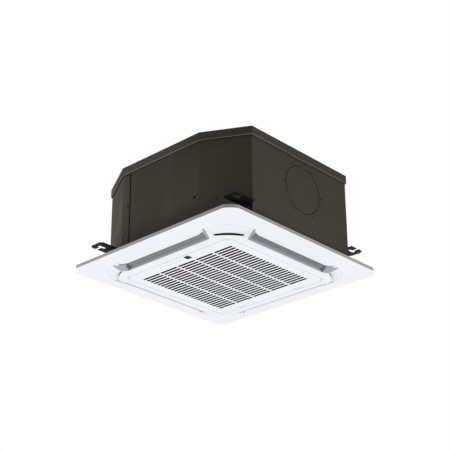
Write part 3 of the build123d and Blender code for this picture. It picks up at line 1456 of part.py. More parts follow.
export_step(fan_motor.part, "parts/fan_motor.step")

with BuildPart() as rubber_mounts:
    with BuildSketch(Plane.XY.offset(lug_bottom + motor_lug_thickness)):
        with PolarLocations(motor_lug_ring, stud_count, start_angle=90):
            RegularPolygon(bush_radius, round_sides)
            Circle(stud_radius + pin_clearance, mode=Mode.SUBTRACT)
    extrude(amount=bush_length)
rubber_mounts.part.label = "rubber_mounts"
export_step(rubber_mounts.part, "parts/rubber_mounts.step")

with BuildPart() as mount_nuts:
    with BuildSketch(Plane.XY.offset(lug_bottom)):
        with PolarLocations(motor_lug_ring, stud_count, start_angle=90):
            RegularPolygon(stud_radius * 1.7, 6, major_radius=False)
            Circle(stud_radius + pin_clearance, mode=Mode.SUBTRACT)
    extrude(amount=-mount_nut_height)
mount_nuts.part.label = "mount_nuts"
export_step(mount_nuts.part, "parts/mount_nuts.step")

# ====================================================================================
# Drain pump, float and hose
# ====================================================================================

pump_centre = Vector(pump_x, pump_y)
hose_foot = Vector(hose_x, hose_y)
arm_way = (hose_foot - pump_centre).normalized()
with BuildPart() as drain_pump:
    with BuildSketch(Plane.XY.offset(pump_bottom)):
        with Locations(pump_centre):
            RegularPolygon(pump_radius, 2 * round_sides)
    extrude(amount=pump_top - pump_bottom)
    with BuildSketch(Plane.XY.offset(pump_cup_bottom)):
        with Locations(pump_centre):
            RegularPolygon(pump_cup_radius, round_sides)
    extrude(amount=pump_bottom - pump_cup_bottom)
    with BuildSketch(Plane.XY.offset(pump_cup_bottom)):
        with Locations(pump_centre):
            RegularPolygon(pump_cup_radius - pump_cup_wall, round_sides)
    extrude(amount=pump_bottom - pump_cup_bottom, mode=Mode.SUBTRACT)
    arm_plane = Plane(origin=(pump_x, pump_y, pump_arm_height), z_dir=arm_way)
    with BuildSketch(arm_plane):
        RegularPolygon(spigot_radius, round_sides)
    extrude(amount=(hose_foot - pump_centre).length)
    with BuildSketch(Plane.XY.offset(pump_arm_height - spigot_radius)):
        with Locations(hose_foot):
            RegularPolygon(spigot_radius, round_sides)
    extrude(amount=spigot_height)
    with BuildSketch(Plane.XY.offset(pump_bottom)):
        with Locations(pump_centre):
            Circle(pump_shaft_radius + pin_clearance)
    extrude(amount=pump_bearing, mode=Mode.SUBTRACT)
drain_pump.part.label = "drain_pump"
export_step(drain_pump.part, "parts/drain_pump.step")

with BuildPart() as pump_impeller:
    with BuildSketch(Plane.XY.offset(pump_cup_bottom + 1)):
        with Locations(pump_centre):
            Circle(pump_shaft_radius)
    extrude(amount=pump_bottom + pump_bearing - seat_gap - pump_cup_bottom - 1)
    with BuildSketch(Plane.XY.offset(pump_cup_bottom + 1)):
        with Locations(pump_centre):
            with PolarLocations(impeller_radius / 2, impeller_vanes):
                Rectangle(impeller_radius, 1.5)
    extrude(amount=impeller_height)
pump_impeller.part.label = "pump_impeller"
export_step(pump_impeller.part, "parts/pump_impeller.step")

bracket_near = baffle_out
bracket_far = (-pump_x - pump_y) / sqrt(2) + pump_radius / 2
with BuildPart() as pump_bracket:
    with BuildSketch(diagonal.offset(pump_top)):
        with Locations((bracket_near, 0)):
            Rectangle(bracket_far - bracket_near, bracket_width, align=(Align.MIN, Align.CENTER))
    extrude(amount=sheet)
    with BuildSketch(diagonal.offset(pump_top)):
        with Locations((bracket_near, 0)):
            Rectangle(sheet, bracket_width, align=(Align.MIN, Align.CENTER))
    extrude(amount=bracket_upstand)
pump_bracket.part.label = "pump_bracket"
export_step(pump_bracket.part, "parts/pump_bracket.step")

float_bottom = float_floor + 2
with BuildPart() as float_stem:
    with BuildSketch(Plane.XY.offset(float_bottom - 1)):
        with Locations((float_x, float_y)):
            Circle(float_stem_radius)
    extrude(amount=pump_top - float_bottom + 1)
    with BuildSketch(Plane.XY.offset(float_bottom - 1 - seat_gap)):
        with Locations((float_x, float_y)):
            RegularPolygon(float_stop_radius, screw_sides)
    extrude(amount=1)
    with BuildSketch(Plane.XY.offset(float_bottom + float_height + float_travel + seat_gap)):
        with Locations((float_x, float_y)):
            RegularPolygon(float_stop_radius, screw_sides)
    extrude(amount=2)
float_stem.part.label = "float_stem"
export_step(float_stem.part, "parts/float_stem.step")

with BuildPart() as float_ring:
    with BuildSketch(Plane.XY.offset(float_bottom)):
        with Locations((float_x, float_y)):
            RegularPolygon(float_radius, round_sides)
            Circle(float_stem_radius + 2 * pin_clearance, mode=Mode.SUBTRACT)
    extrude(amount=float_height)
float_ring.part.label = "float_ring"
export_step(float_ring.part, "parts/float_ring.step")

hose_bore = hose_radius - hose_wall
with BuildLine() as hose_path:
    Polyline(
        (hose_x, hose_y, hose_bottom), (hose_x, hose_y, drain_height - hose_bend),
        (hose_x - hose_bend, hose_y, drain_height),
        (hose_x - hose_bend - hose_tail, hose_y, drain_height),
    )
with BuildPart() as drain_hose:
    add(tube(hose_path.line, hose_radius, round_sides))
    add(tube(hose_path.line, hose_bore / cos(pi / round_sides), round_sides), mode=Mode.SUBTRACT)
drain_hose.part.label = "drain_hose"
export_step(drain_hose.part, "parts/drain_hose.step")

stub_inner = hose_x - hose_bend
with BuildPart() as drain_outlet:
    with BuildSketch(Plane.YZ.offset(stub_inner)):
        with Locations((hose_y, drain_height)):
            RegularPolygon(hose_bore - pin_clearance, round_sides)
    extrude(amount=-(wall_x + stub_inner))
    with BuildSketch(Plane.YZ.offset(stub_inner - hose_tail)):
        with Locations((hose_y, drain_height)):
            RegularPolygon(drain_neck_radius, round_sides)
    extrude(amount=-(wall_x + stub_inner - hose_tail))
    with BuildSketch(Plane.YZ.offset(-wall_x)):
        with Locations((hose_y, drain_height)):
            RegularPolygon(drain_flange_radius, 2 * round_sides)
    extrude(amount=-drain_flange)
    with BuildSketch(Plane.YZ.offset(-wall_x)):
        with Locations((hose_y, drain_height)):
            Circle(drain_stub_radius)
    extrude(amount=-drain_stub_length)
    with BuildSketch(Plane.YZ.offset(-wall_x - drain_stub_length)):
        with Locations((hose_y, drain_height)):
            Circle(drain_stub_bore)
    extrude(amount=drain_stub_length - drain_flange, mode=Mode.SUBTRACT)
    with BuildSketch(Plane.YZ.offset(stub_inner)):
        with Locations((hose_y, drain_height)):
            RegularPolygon(hose_bore - pin_clearance - drain_tube_wall, round_sides)
    extrude(amount=-(wall_x + stub_inner + drain_flange + 1), mode=Mode.SUBTRACT)
drain_outlet.part.label = "drain_outlet"
export_step(drain_outlet.part, "parts/drain_outlet.step")

# ====================================================================================
# Refrigerant pipes and cable entry
# ====================================================================================

pipe_end = -wall_x - pipe_reach
with BuildPart() as gas_pipe:
    with BuildSketch(Plane.XY.offset(header_bottom)):
        with Locations((-coil_half, pipe_y)):
            RegularPolygon(header_radius, round_sides)
    extrude(amount=header_top - header_bottom)
    with BuildSketch(Plane.YZ.offset(-coil_half)):
        with Locations((pipe_y, gas_height)):
            Circle(gas_radius)
    extrude(amount=pipe_end + coil_half)
    with BuildSketch(Plane.XZ.offset(coil_end + end_plate)):
        for step in range(1, header_feeds + 1):
            feed_height = trough_floor + bend_first + bend_pitch * step - (bend_pitch - tube_pitch) / 2
            with Locations((-coil_half, feed_height)):
                RegularPolygon(tube_radius, tube_sides)
    extrude(amount=-pipe_y - coil_end - end_plate)
    with BuildSketch(Plane.YZ.offset(pipe_end)):
        with Locations((pipe_y, gas_height)):
            Circle(gas_radius - pipe_wall)
    extrude(amount=pipe_reach, mode=Mode.SUBTRACT)
gas_pipe.part.label = "gas_pipe"
export_step(gas_pipe.part, "parts/gas_pipe.step")

with BuildLine() as liquid_path:
    Polyline(
        (-coil_end - end_plate, -coil_half, liquid_height),
        (liquid_turn_x, -coil_half, liquid_height),
        (liquid_turn_x - 2 * liquid_bend, pipe_y, liquid_height),
        (-wall_x + liner_thickness + liquid_bend, pipe_y, liquid_height),
    )
with BuildPart() as liquid_pipe:
    add(tube(liquid_path.line, liquid_radius, round_sides))
    with BuildSketch(Plane.YZ.offset(pipe_end)):
        with Locations((pipe_y, liquid_height)):
            Circle(liquid_radius)
    extrude(amount=-pipe_end - wall_x + liner_thickness + liquid_bend)
    with BuildSketch(Plane.YZ.offset(pipe_end)):
        with Locations((pipe_y, liquid_height)):
            Circle(liquid_radius - pipe_wall)
    extrude(amount=pipe_reach, mode=Mode.SUBTRACT)
liquid_pipe.part.label = "liquid_pipe"
export_step(liquid_pipe.part, "parts/liquid_pipe.step")

with BuildPart() as flare_nuts:
    with BuildSketch(Plane.YZ.offset(pipe_end)):
        with Locations((pipe_y, gas_height)):
            RegularPolygon(gas_nut_flats / 2, 6, major_radius=False)
            Circle(gas_radius + pin_clearance, mode=Mode.SUBTRACT)
    extrude(amount=gas_nut_length)
    with BuildSketch(Plane.YZ.offset(pipe_end)):
        with Locations((pipe_y, liquid_height)):
            RegularPolygon(liquid_nut_flats / 2, 6, major_radius=False)
            Circle(liquid_radius + pin_clearance, mode=Mode.SUBTRACT)
    extrude(amount=liquid_nut_length)
flare_nuts.part.label = "flare_nuts"
export_step(flare_nuts.part, "parts/flare_nuts.step")

with BuildPart() as cable_grommet:
    with BuildSketch(Plane.YZ.offset(-wall_x - grommet_flange)):
        with Locations((grommet_y, grommet_z)):
            Circle(grommet_radius)
    extrude(amount=grommet_flange)
    with BuildSketch(Plane.YZ.offset(-wall_x)):
        with Locations((grommet_y, grommet_z)):
            RegularPolygon(grommet_neck_radius, round_sides)
    extrude(amount=sheet)
    with BuildSketch(Plane.YZ.offset(-wall_x + sheet)):
        with Locations((grommet_y, grommet_z)):
            Circle(grommet_radius)
    extrude(amount=grommet_flange)
    with BuildSketch(Plane.YZ.offset(-wall_x - grommet_flange)):
        with Locations((grommet_y, grommet_z)):
            Circle(grommet_bore)
    extrude(amount=2 * grommet_flange + sheet, mode=Mode.SUBTRACT)
cable_grommet.part.label = "cable_grommet"
export_step(cable_grommet.part, "parts/cable_grommet.step")

# ====================================================================================
# Control box, under the bell mouth's plate
# ====================================================================================

box_middle = (box_near + box_far) / 2
box_width = box_far - box_near
box_height = body_floor - box_bottom
with BuildPart() as control_box:
    with BuildSketch(Plane.XY.offset(box_bottom)):
        with Locations((0, box_middle)):
            Rectangle(2 * box_half_length, box_width)
    extrude(amount=box_height)
    with BuildSketch(Plane.XY.offset(box_bottom)):
        with Locations((0, box_middle)):
            Rectangle(2 * (box_half_length - box_wall), box_width - 2 * box_wall)
    extrude(amount=box_height - box_wall, mode=Mode.SUBTRACT)
    with BuildSketch(Plane.XY.offset(body_floor - box_wall)):
        with Locations((0, box_middle)):
            with GridLocations(2 * box_half_length - 30, box_width - 12, 2, 2):
                Circle(2)
    extrude(amount=-board_spacer)
    with BuildSketch(Plane.YZ.offset(-box_half_length - 1)):
        with Locations((box_middle, (box_bottom + body_floor) / 2)):
            Circle(box_cable_hole)
    extrude(amount=box_wall + 2, mode=Mode.SUBTRACT)
control_box.part.label = "control_box"
export_step(control_box.part, "parts/control_box.step")

with BuildPart() as control_cover:
    with BuildSketch(Plane.XY.offset(box_bottom)):
        with Locations((0, box_middle)):
            Rectangle(2 * box_half_length, box_width)
    extrude(amount=-box_cover)
    with BuildSketch(Plane.XY.offset(box_bottom - box_cover)):
        with Locations((0, box_middle)):
            with GridLocations(2 * box_half_length - 12, 1, 2, 1):
                Circle(screw_head_radius)
    extrude(amount=-screw_head_height)
control_cover.part.label = "control_cover"
export_step(control_cover.part, "parts/control_cover.step")

board_top = body_floor - box_wall - board_spacer
with BuildPart() as circuit_board:
    with BuildSketch(Plane.XY.offset(board_top)):
        with Locations((0, box_middle)):
            Rectangle(2 * box_half_length - 20, box_width - 4)
    extrude(amount=-board_thickness)
    with BuildSketch(Plane.XY.offset(board_top - board_thickness)):
        with Locations((0, box_middle)):
            with GridLocations(44, 16, 4, 2):
                Rectangle(14, 9)
    extrude(amount=-8)
circuit_board.part.label = "circuit_board"
export_step(circuit_board.part, "parts/circuit_board.step")

with BuildPart() as terminal_block:
    with BuildSketch(Plane.XY.offset(board_top - board_thickness)):
        with Locations((-box_half_length + 26, box_middle)):
            Rectangle(22, box_width - 10)
    extrude(amount=-12)
    with BuildSketch(Plane.XY.offset(board_top - board_thickness - 12)):
        with Locations((-box_half_length + 26, box_middle)):
            with GridLocations(10, 8, 2, 3):
                Rectangle(5, 5)
    extrude(amount=3, mode=Mode.SUBTRACT)
terminal_block.part.label = "terminal_block"
export_step(terminal_block.part, "parts/terminal_block.step")
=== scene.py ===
import json
import math

import bmesh
import bpy
import numpy as np
from mathutils import Matrix, Vector


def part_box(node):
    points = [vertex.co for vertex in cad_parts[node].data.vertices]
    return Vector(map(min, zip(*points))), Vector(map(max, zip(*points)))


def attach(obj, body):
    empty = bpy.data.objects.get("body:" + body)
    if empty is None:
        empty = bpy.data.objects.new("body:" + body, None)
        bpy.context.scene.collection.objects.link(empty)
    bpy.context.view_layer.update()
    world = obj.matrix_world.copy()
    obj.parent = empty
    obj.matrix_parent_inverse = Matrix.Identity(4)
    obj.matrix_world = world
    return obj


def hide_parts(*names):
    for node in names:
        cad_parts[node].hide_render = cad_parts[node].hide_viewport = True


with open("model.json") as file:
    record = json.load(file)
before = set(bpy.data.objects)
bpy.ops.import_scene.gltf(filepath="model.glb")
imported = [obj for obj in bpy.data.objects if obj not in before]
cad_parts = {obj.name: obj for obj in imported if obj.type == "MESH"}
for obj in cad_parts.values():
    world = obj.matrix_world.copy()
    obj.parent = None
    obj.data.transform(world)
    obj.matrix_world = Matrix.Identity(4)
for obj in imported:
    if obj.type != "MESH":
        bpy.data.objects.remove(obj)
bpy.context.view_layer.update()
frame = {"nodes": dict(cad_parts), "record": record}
nodes = frame["nodes"]
bodyOf = {node: body for body, members in frame["record"]["behaviour"]["bodies"].items() for node in members}
slotOf = {row["node"]: row["material_slot"] for row in frame["record"]["subparts"]}
print("frame loaded:", len(nodes), "CAD nodes")

# camera: where the photograph was taken from, in metres, in the part's own frame

photoCamera = {"azimuth": 43.07, "elevation": -24.97, "roll": -0.22, "lens": 96.24,
               "place": (2.2421, -2.3988, -1.3850)}


def outwardFrom(azimuth, elevation):
    # from the part towards a place: azimuth 0 is the front, elevation counts upwards
    return Vector((math.sin(azimuth) * math.cos(elevation), -math.cos(azimuth) * math.cos(elevation),
                   math.sin(elevation)))


def makeCamera(settings):
    # the camera looks back along its own direction from the part; roll turns the picture about that line
    azimuth, elevation, roll = (math.radians(settings[key]) for key in ("azimuth", "elevation", "roll"))
    back = outwardFrom(azimuth, elevation)
    level = (-back).cross(Vector((0, 0, 1))).normalized()
    upright = level.cross(-back)
    right = level * math.cos(roll) + upright * math.sin(roll)
    up = upright * math.cos(roll) - level * math.sin(roll)
    data = bpy.data.cameras.new("photoCamera")
    data.lens = settings["lens"]
    data.sensor_width = 36.0
    data.clip_end = 100.0
    camera = bpy.data.objects.new("photoCamera", data)
    bpy.context.scene.collection.objects.link(camera)
    turn = Matrix((right, up, back)).transposed().to_4x4()
    camera.matrix_world = Matrix.Translation(settings["place"]) @ turn
    bpy.context.scene.camera = camera


makeCamera(photoCamera)
print("camera set")


# colour and shader maths

def fromScreen(red, green, blue):
    # a colour read off a screen, 0 to 255, as the linear colour a shader wants
    share = np.array((red, green, blue)) / 255.0
    linear = np.where(share <= 0.04045, share / 12.92, ((share + 0.055) / 1.055) ** 2.4)
    return (float(linear[0]), float(linear[1]), float(linear[2]), 1.0)


def shaded(colour, level):
    # the same colour, darker or paler
    return tuple(min(channel * level, 1.0) for channel in colour[:3]) + (1.0,)


class Wire:
    # one output of a node; the operators add Math nodes

    def __init__(self, tree, socket):
        self.tree = tree
        self.socket = socket

    def maths(self, operation, first, second):
        node = self.tree.nodes.new("ShaderNodeMath")
        node.operation = operation
        for slot, value in zip(node.inputs, (first, second)):
            join(self.tree, slot, value)
        return Wire(self.tree, node.outputs[0])

    def __add__(self, other):
        return self.maths("ADD", self, other)

    def __radd__(self, other):
        return self.maths("ADD", other, self)

    def __sub__(self, other):
        return self.maths("SUBTRACT", self, other)

    def __rsub__(self, other):
        return self.maths("SUBTRACT", other, self)

    def __mul__(self, other):
        return self.maths("MULTIPLY", self, other)

    def __rmul__(self, other):
        return self.maths("MULTIPLY", other, self)

    def atLeast(self, other):
        return self.maths("MAXIMUM", self, other)

    def above(self, other):
        return self.maths("GREATER_THAN", self, other)

    def wave(self):
        return self.maths("SINE", self, 0.0)


def join(tree, slot, value):
    if isinstance(value, Wire):
        tree.links.new(value.socket, slot)
    else:
        slot.default_value = value


class Finish:
    # a material being made: a Principled shader and the nodes that vary it

    def __init__(self, name, **uniform):
        self.material = bpy.data.materials.new(name)
        self.material.use_nodes = True
        self.tree = self.material.node_tree
        self.shader = self.tree.nodes["Principled BSDF"]
        for label, value in uniform.items():
            self.shader.inputs[label.replace("_", " ")].default_value = value
        self.coords = self.add("ShaderNodeTexCoord", out="Object")

    def add(self, kind, settings=None, sockets=None, out=0):
        node = self.tree.nodes.new(kind)
        for key, value in (settings or {}).items():
            setattr(node, key, value)
        for key, value in (sockets or {}).items():
            join(self.tree, node.inputs[key], value)
        return Wire(self.tree, node.outputs[out])

    def mapped(self, scale=(1, 1, 1)):
        return self.add("ShaderNodeMapping", sockets={"Vector": self.coords, "Scale": scale})

    def noise(self, scale, detail=3.0, roughness=0.55, stretch=(1, 1, 1)):
        return self.add("ShaderNodeTexNoise", sockets={"Vector": self.mapped(stretch), "Scale": scale,
                                                       "Detail": detail, "Roughness": roughness})

    def cells(self, scale, feature="F1", out="Distance"):
        return self.add("ShaderNodeTexVoronoi", {"feature": feature},
                        {"Vector": self.mapped(), "Scale": scale}, out)

    def ramp(self, value, low, high):
        # 0 below low, 1 above high, straight between
        return self.add("ShaderNodeMapRange", {"clamp": True},
                        {"Value": value, "From Min": low, "From Max": high, "To Min": 0.0, "To Max": 1.0})

    def tint(self, factor, first, second):
        return self.add("ShaderNodeMix", {"data_type": "RGBA"}, {0: factor, 6: first, 7: second}, 2)

    def axis(self, name):
        return self.add("ShaderNodeSeparateXYZ", sockets={0: self.coords}, out=name)

    def facing(self, name):
        normal = self.add("ShaderNodeTexCoord", out="Normal")
        return self.add("ShaderNodeSeparateXYZ", sockets={0: normal}, out=name)

    def done(self, colour, roughness, bump=None, depth=0.0002, strength=0.3):
        # depth is the bump's height in metres
        join(self.tree, self.shader.inputs["Base Color"], colour)
        join(self.tree, self.shader.inputs["Roughness"], roughness)
        if bump is not None:
            sockets = {"Height": bump, "Strength": strength, "Distance": depth}
            normal = self.add("ShaderNodeBump", sockets=sockets, out="Normal")
            join(self.tree, self.shader.inputs["Normal"], normal)
        return self.material


# finishes, one for each slot of the record

def mouldedPlastic(name, colour, gloss=0.42, grain=0.25, shine=0.4, paintedShadeWalls=()):
    # fine spark texture and faint flow lines; the last argument lists walls that are darkened with painted
    # shade
    finish = Finish(name, Specular_IOR_Level=shine)
    cloud = finish.noise(7.0, 4.0)
    fine = finish.noise(900.0, 2.0)
    flow = finish.noise(22.0, 3.0, stretch=(1, 1, 4))
    colourWire = finish.tint(finish.ramp(cloud, 0.3, 0.75), shaded(colour, 0.965), shaded(colour, 1.02))
    for walls in paintedShadeWalls:
        # painted shade on upright faces between two distances from the middle, such as a rim or the walls of
        # slots
        x, y, height, upward = finish.axis("X"), finish.axis("Y"), finish.axis("Z"), finish.facing("Z")
        far = (x * x).atLeast(y * y)
        band = far.above(walls["from"] ** 2) * (1 - far.above(walls["to"] ** 2))
        upright = 1 - (upward * upward).above(walls["slope"] ** 2)
        colourWire = finish.tint(band * upright * height.above(walls["over"]), colourWire, walls["colour"])
    return finish.done(colourWire, gloss - 0.05 + 0.1 * flow, bump=fine + 0.35 * flow, depth=0.00012,
                       strength=grain)


def paintedSheet(name, colour):
    # satin paint with orange peel, drawn streaks and a few pale rubs
    finish = Finish(name, Specular_IOR_Level=0.24)
    peel = finish.noise(330.0, 3.0)
    patch = finish.noise(5.5, 5.0, 0.6)
    streak = finish.noise(14.0, 4.0, 0.6, stretch=(1, 1, 0.12))
    rub = finish.ramp(finish.noise(60.0, 6.0, 0.7, stretch=(1, 1, 0.5)), 0.66, 0.8)
    base = finish.tint(finish.ramp(patch, 0.3, 0.7), shaded(colour, 0.86), shaded(colour, 1.1))
    streaked = finish.tint(finish.ramp(streak, 0.48, 0.75) * 0.35, base, shaded(colour, 1.45))
    rubbed = finish.tint(rub * 0.3, streaked, shaded(colour, 2.2))
    return finish.done(rubbed, 0.4 + 0.2 * patch - 0.08 * rub, bump=peel + 0.5 * patch, depth=0.00025,
                       strength=0.22)


def zincSheet(name, colour):
    # flat crystals of different brightness, as on galvanised sheet
    finish = Finish(name, Metallic=0.9)
    crystal = finish.cells(110.0, out="Color")
    level = finish.add("ShaderNodeSeparateXYZ", sockets={0: crystal}, out="X")
    scratch = finish.noise(90.0, 4.0, stretch=(1, 6, 0.3))
    colourWire = finish.tint(level, shaded(colour, 0.8), shaded(colour, 1.08))
    return finish.done(colourWire, 0.3 + 0.16 * level + 0.1 * scratch, bump=scratch, depth=0.00008,
                       strength=0.25)


def foamSheet(name, colour):
    # open-cell foam: pores darkened with painted shade under a soft skin
    finish = Finish(name, Specular_IOR_Level=0.15)
    pores = finish.cells(900.0)
    skin = finish.noise(40.0, 4.0)
    colourWire = finish.tint(finish.ramp(pores, 0.0, 0.7), shaded(colour, 0.7), shaded(colour, 1.12))
    return finish.done(colourWire, 0.9 + 0.08 * skin, bump=pores + 0.6 * skin, depth=0.0006, strength=0.6)


def beadFoam(name, colour):
    # moulded beads: cell edges sink and are darkened with painted shade, and the brightness varies in clouds
    finish = Finish(name, Specular_IOR_Level=0.3)
    edge = finish.cells(300.0, "DISTANCE_TO_EDGE")
    bead = finish.ramp(edge, 0.0, 0.12)
    cloud = finish.noise(18.0, 3.0)
    colourWire = finish.tint(bead * 0.6 + 0.4 * cloud, shaded(colour, 0.86), colour)
    return finish.done(colourWire, 0.62 + 0.2 * cloud, bump=bead, depth=0.0004, strength=0.5)


def drawnTube(name, colour):
    # drawn metal: lengthwise lines and darker oxide clouds
    finish = Finish(name, Metallic=1.0)
    oxide = finish.noise(26.0, 5.0, 0.65)
    line = finish.noise(400.0, 2.0, stretch=(0.05, 1, 1))
    colourWire = finish.tint(finish.ramp(oxide, 0.42, 0.72), colour, shaded(colour, 0.5))
    return finish.done(colourWire, 0.24 + 0.3 * oxide, bump=line, depth=0.00006, strength=0.3)


def turnedBrass(name, colour):
    # fine turning rings along X
    finish = Finish(name, Metallic=1.0)
    ring = (finish.axis("X") * 9000.0).wave()
    cloud = finish.noise(60.0, 3.0)
    colourWire = finish.tint(cloud, shaded(colour, 0.85), shaded(colour, 1.06))
    return finish.done(colourWire, 0.26 + 0.12 * cloud, bump=ring + cloud, depth=0.00005, strength=0.3)


def finStock(name, colour):
    # thin aluminium with rows of pressed louvres up each fin
    finish = Finish(name, Metallic=0.85)
    row = (finish.axis("Z") * 2100.0).wave()
    dull = finish.noise(35.0, 4.0)
    colourWire = finish.tint(finish.ramp(dull, 0.3, 0.8), shaded(colour, 0.82), colour)
    return finish.done(colourWire, 0.34 + 0.2 * dull, bump=row + 0.4 * dull, depth=0.0003, strength=0.45)


def softRubber(name, colour):
    # matt black with a pale bloom in patches
    finish = Finish(name, Specular_IOR_Level=0.3)
    bloom = finish.noise(30.0, 5.0, 0.6)
    fine = finish.noise(1200.0, 2.0)
    colourWire = finish.tint(finish.ramp(bloom, 0.45, 0.8), colour, shaded(colour, 1.9))
    return finish.done(colourWire, 0.66 + 0.16 * bloom, bump=fine, depth=0.00015, strength=0.35)


def tintedWindow(name, colour):
    # smooth tinted plastic with very faint swirl marks
    finish = Finish(name, Specular_IOR_Level=0.16)
    swirl = finish.noise(160.0, 6.0, 0.7)
    colourWire = finish.tint(finish.ramp(swirl, 0.4, 0.9), colour, shaded(colour, 1.7))
    return finish.done(colourWire, 0.22 + 0.08 * swirl, bump=swirl, depth=0.00002, strength=0.15)


def lacqueredBoard(name, colour):
    # copper tracks show as paler lines under green lacquer
    finish = Finish(name, Coat_Weight=0.4, Coat_Roughness=0.2)
    track = finish.add("ShaderNodeTexBrick", {"offset": 0.37, "squash": 1.0},
                       {"Vector": finish.mapped(), "Color1": (0, 0, 0, 1), "Color2": (0, 0, 0, 1),
                        "Mortar": (1, 1, 1, 1), "Scale": 130.0, "Mortar Size": 0.035, "Bias": 0.0,
                        "Brick Width": 0.9, "Row Height": 0.3}, "Fac")
    cloud = finish.noise(50.0, 3.0)
    colourWire = finish.tint(track, shaded(colour, 0.9), shaded(colour, 2.0))
    return finish.done(colourWire, 0.35 + 0.15 * cloud, bump=track, depth=0.00008, strength=0.4)


def openNet(name, colour):
    # dull strands with dust in clouds
    finish = Finish(name, Specular_IOR_Level=0.3)
    dust = finish.noise(24.0, 5.0, 0.65)
    fine = finish.noise(700.0, 2.0)
    colourWire = finish.tint(finish.ramp(dust, 0.45, 0.8), colour, shaded(colour, 1.7))
    return finish.done(colourWire, 0.7 + 0.15 * dust, bump=fine, depth=0.0001, strength=0.3)


screenColours = {
    "panelWhite": (238, 240, 246), "louvrePaintedShade": (125, 128, 133), "flare": (168, 171, 177),
    "rim": (203, 199, 196), "slotWallShade": (52, 54, 58), "outletWallShade": (203, 206, 212),
    "casing": (74, 68, 58), "hemHighlight": (150, 146, 134), "hanger": (20, 20, 20), "screw": (58, 56, 52),
    "zinc": (168, 170, 172), "greyFoam": (44, 44, 46), "whiteFoam": (222, 222, 219),
    "fins": (205, 208, 211), "copper": (206, 132, 96), "brass": (206, 184, 120),
    "blackPlastic": (13, 13, 14), "fan": (64, 66, 68), "motor": (112, 114, 116),
    "greyPlastic": (120, 124, 126), "rubber": (34, 34, 34), "net": (20, 21, 22), "window": (8, 8, 10),
    "lens": (96, 99, 102), "board": (40, 120, 72),
}
paints = {name: fromScreen(*values) for name, values in screenColours.items()}

# painted shade on walls of the white panel: distances from the middle, lowest height and steepness
panelShadeWalls = (
    {"from": 0.305, "to": 0.4, "over": -0.1, "slope": 0.4, "colour": paints["rim"]},
    {"from": 0.229, "to": 0.249, "over": -0.0287, "slope": 0.8, "colour": paints["outletWallShade"]},
    {"from": 0.0, "to": 0.1772, "over": -0.1, "slope": 0.4, "colour": paints["slotWallShade"]},
)
finishes = {
    "panel_white": mouldedPlastic("panelWhite", paints["panelWhite"], paintedShadeWalls=panelShadeWalls),
    # the louvres are painted mid-grey: painted shade from the recessed outlets on white louvres
    "louvre_white": mouldedPlastic("louvrePaintedShade", paints["louvrePaintedShade"], 0.55, shine=0.25),
    "black_plastic": mouldedPlastic("blackPlastic", paints["blackPlastic"], 0.6, 0.35, shine=0.12),
    "casing_paint": paintedSheet("casingPaint", paints["casing"]),
    "hanger_paint": paintedSheet("hangerPaint", paints["hanger"]),
    "zinc_steel": zincSheet("zincSteel", paints["zinc"]),
    "grey_foam": foamSheet("greyFoam", paints["greyFoam"]),
    "white_foam": beadFoam("whiteFoam", paints["whiteFoam"]),
    "fin_aluminium": finStock("finAluminium", paints["fins"]),
    "copper": drawnTube("copperTube", paints["copper"]),
    "nut_brass": turnedBrass("nutBrass", paints["brass"]),
    "fan_plastic": mouldedPlastic("fanPlastic", paints["fan"], 0.48, 0.3),
    "motor_paint": paintedSheet("motorPaint", paints["motor"]),
    "grey_plastic": mouldedPlastic("greyPlastic", paints["greyPlastic"], 0.5, 0.3),
    "rubber_black": softRubber("rubberBlack", paints["rubber"]),
    "filter_net": openNet("filterNet", paints["net"]),
    "window_black": tintedWindow("windowBlack", paints["window"]),
    "lens_smoke": tintedWindow("lensSmoke", paints["lens"]),
    "board_green": lacqueredBoard("boardGreen", paints["board"]),
}
for name, node in nodes.items():
    node.data.materials.clear()
    node.data.materials.append(finishes[slotOf[name]])
print("finishes made:", len(finishes))


# making pieces

def addPiece(name, mesh, body, slotName, replaced=(), finish=None):
    # puts a mesh on its body with its slot's finish or the given one, in place of the CAD nodes that it
    # stands for
    piece = bpy.data.objects.new(name, mesh)
    bpy.context.scene.collection.objects.link(piece)
    mesh.materials.append(finish or finishes[slotName])
    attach(piece, body)
    if replaced:
        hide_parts(*replaced)
    return piece


def meshFrom(name, points, quads):
    # a mesh from an array of points of any shape and an array of faces
    mesh = bpy.data.meshes.new(name)
    mesh.from_pydata(points.reshape(-1, 3).tolist(), [], quads.reshape(-1, quads.shape[-1]).tolist())
    mesh.update()
    return mesh


def gridQuads(rows, columns, closedRows=False, closedColumns=False):
    # indices of the quads between neighbouring points of a rows by columns grid
    row = np.arange(rows if closedRows else rows - 1)[:, None]
    column = np.arange(columns if closedColumns else columns - 1)[None, :]
    below, beside = (row + 1) % rows, (column + 1) % columns
    quads = np.stack([row * columns + column, row * columns + beside, below * columns + beside,
                      below * columns + column], -1)
    return quads.reshape(-1, 4)


def copiesOf(points, quads, count):
    # the same quads for count blocks of points laid end to end
    return (quads[None] + (np.arange(count) * points)[:, None, None]).reshape(-1, quads.shape[-1])


slabQuads = np.array([[0, 3, 2, 1], [4, 5, 6, 7], [0, 1, 5, 4], [1, 2, 6, 5], [2, 3, 7, 6], [3, 0, 4, 7]])

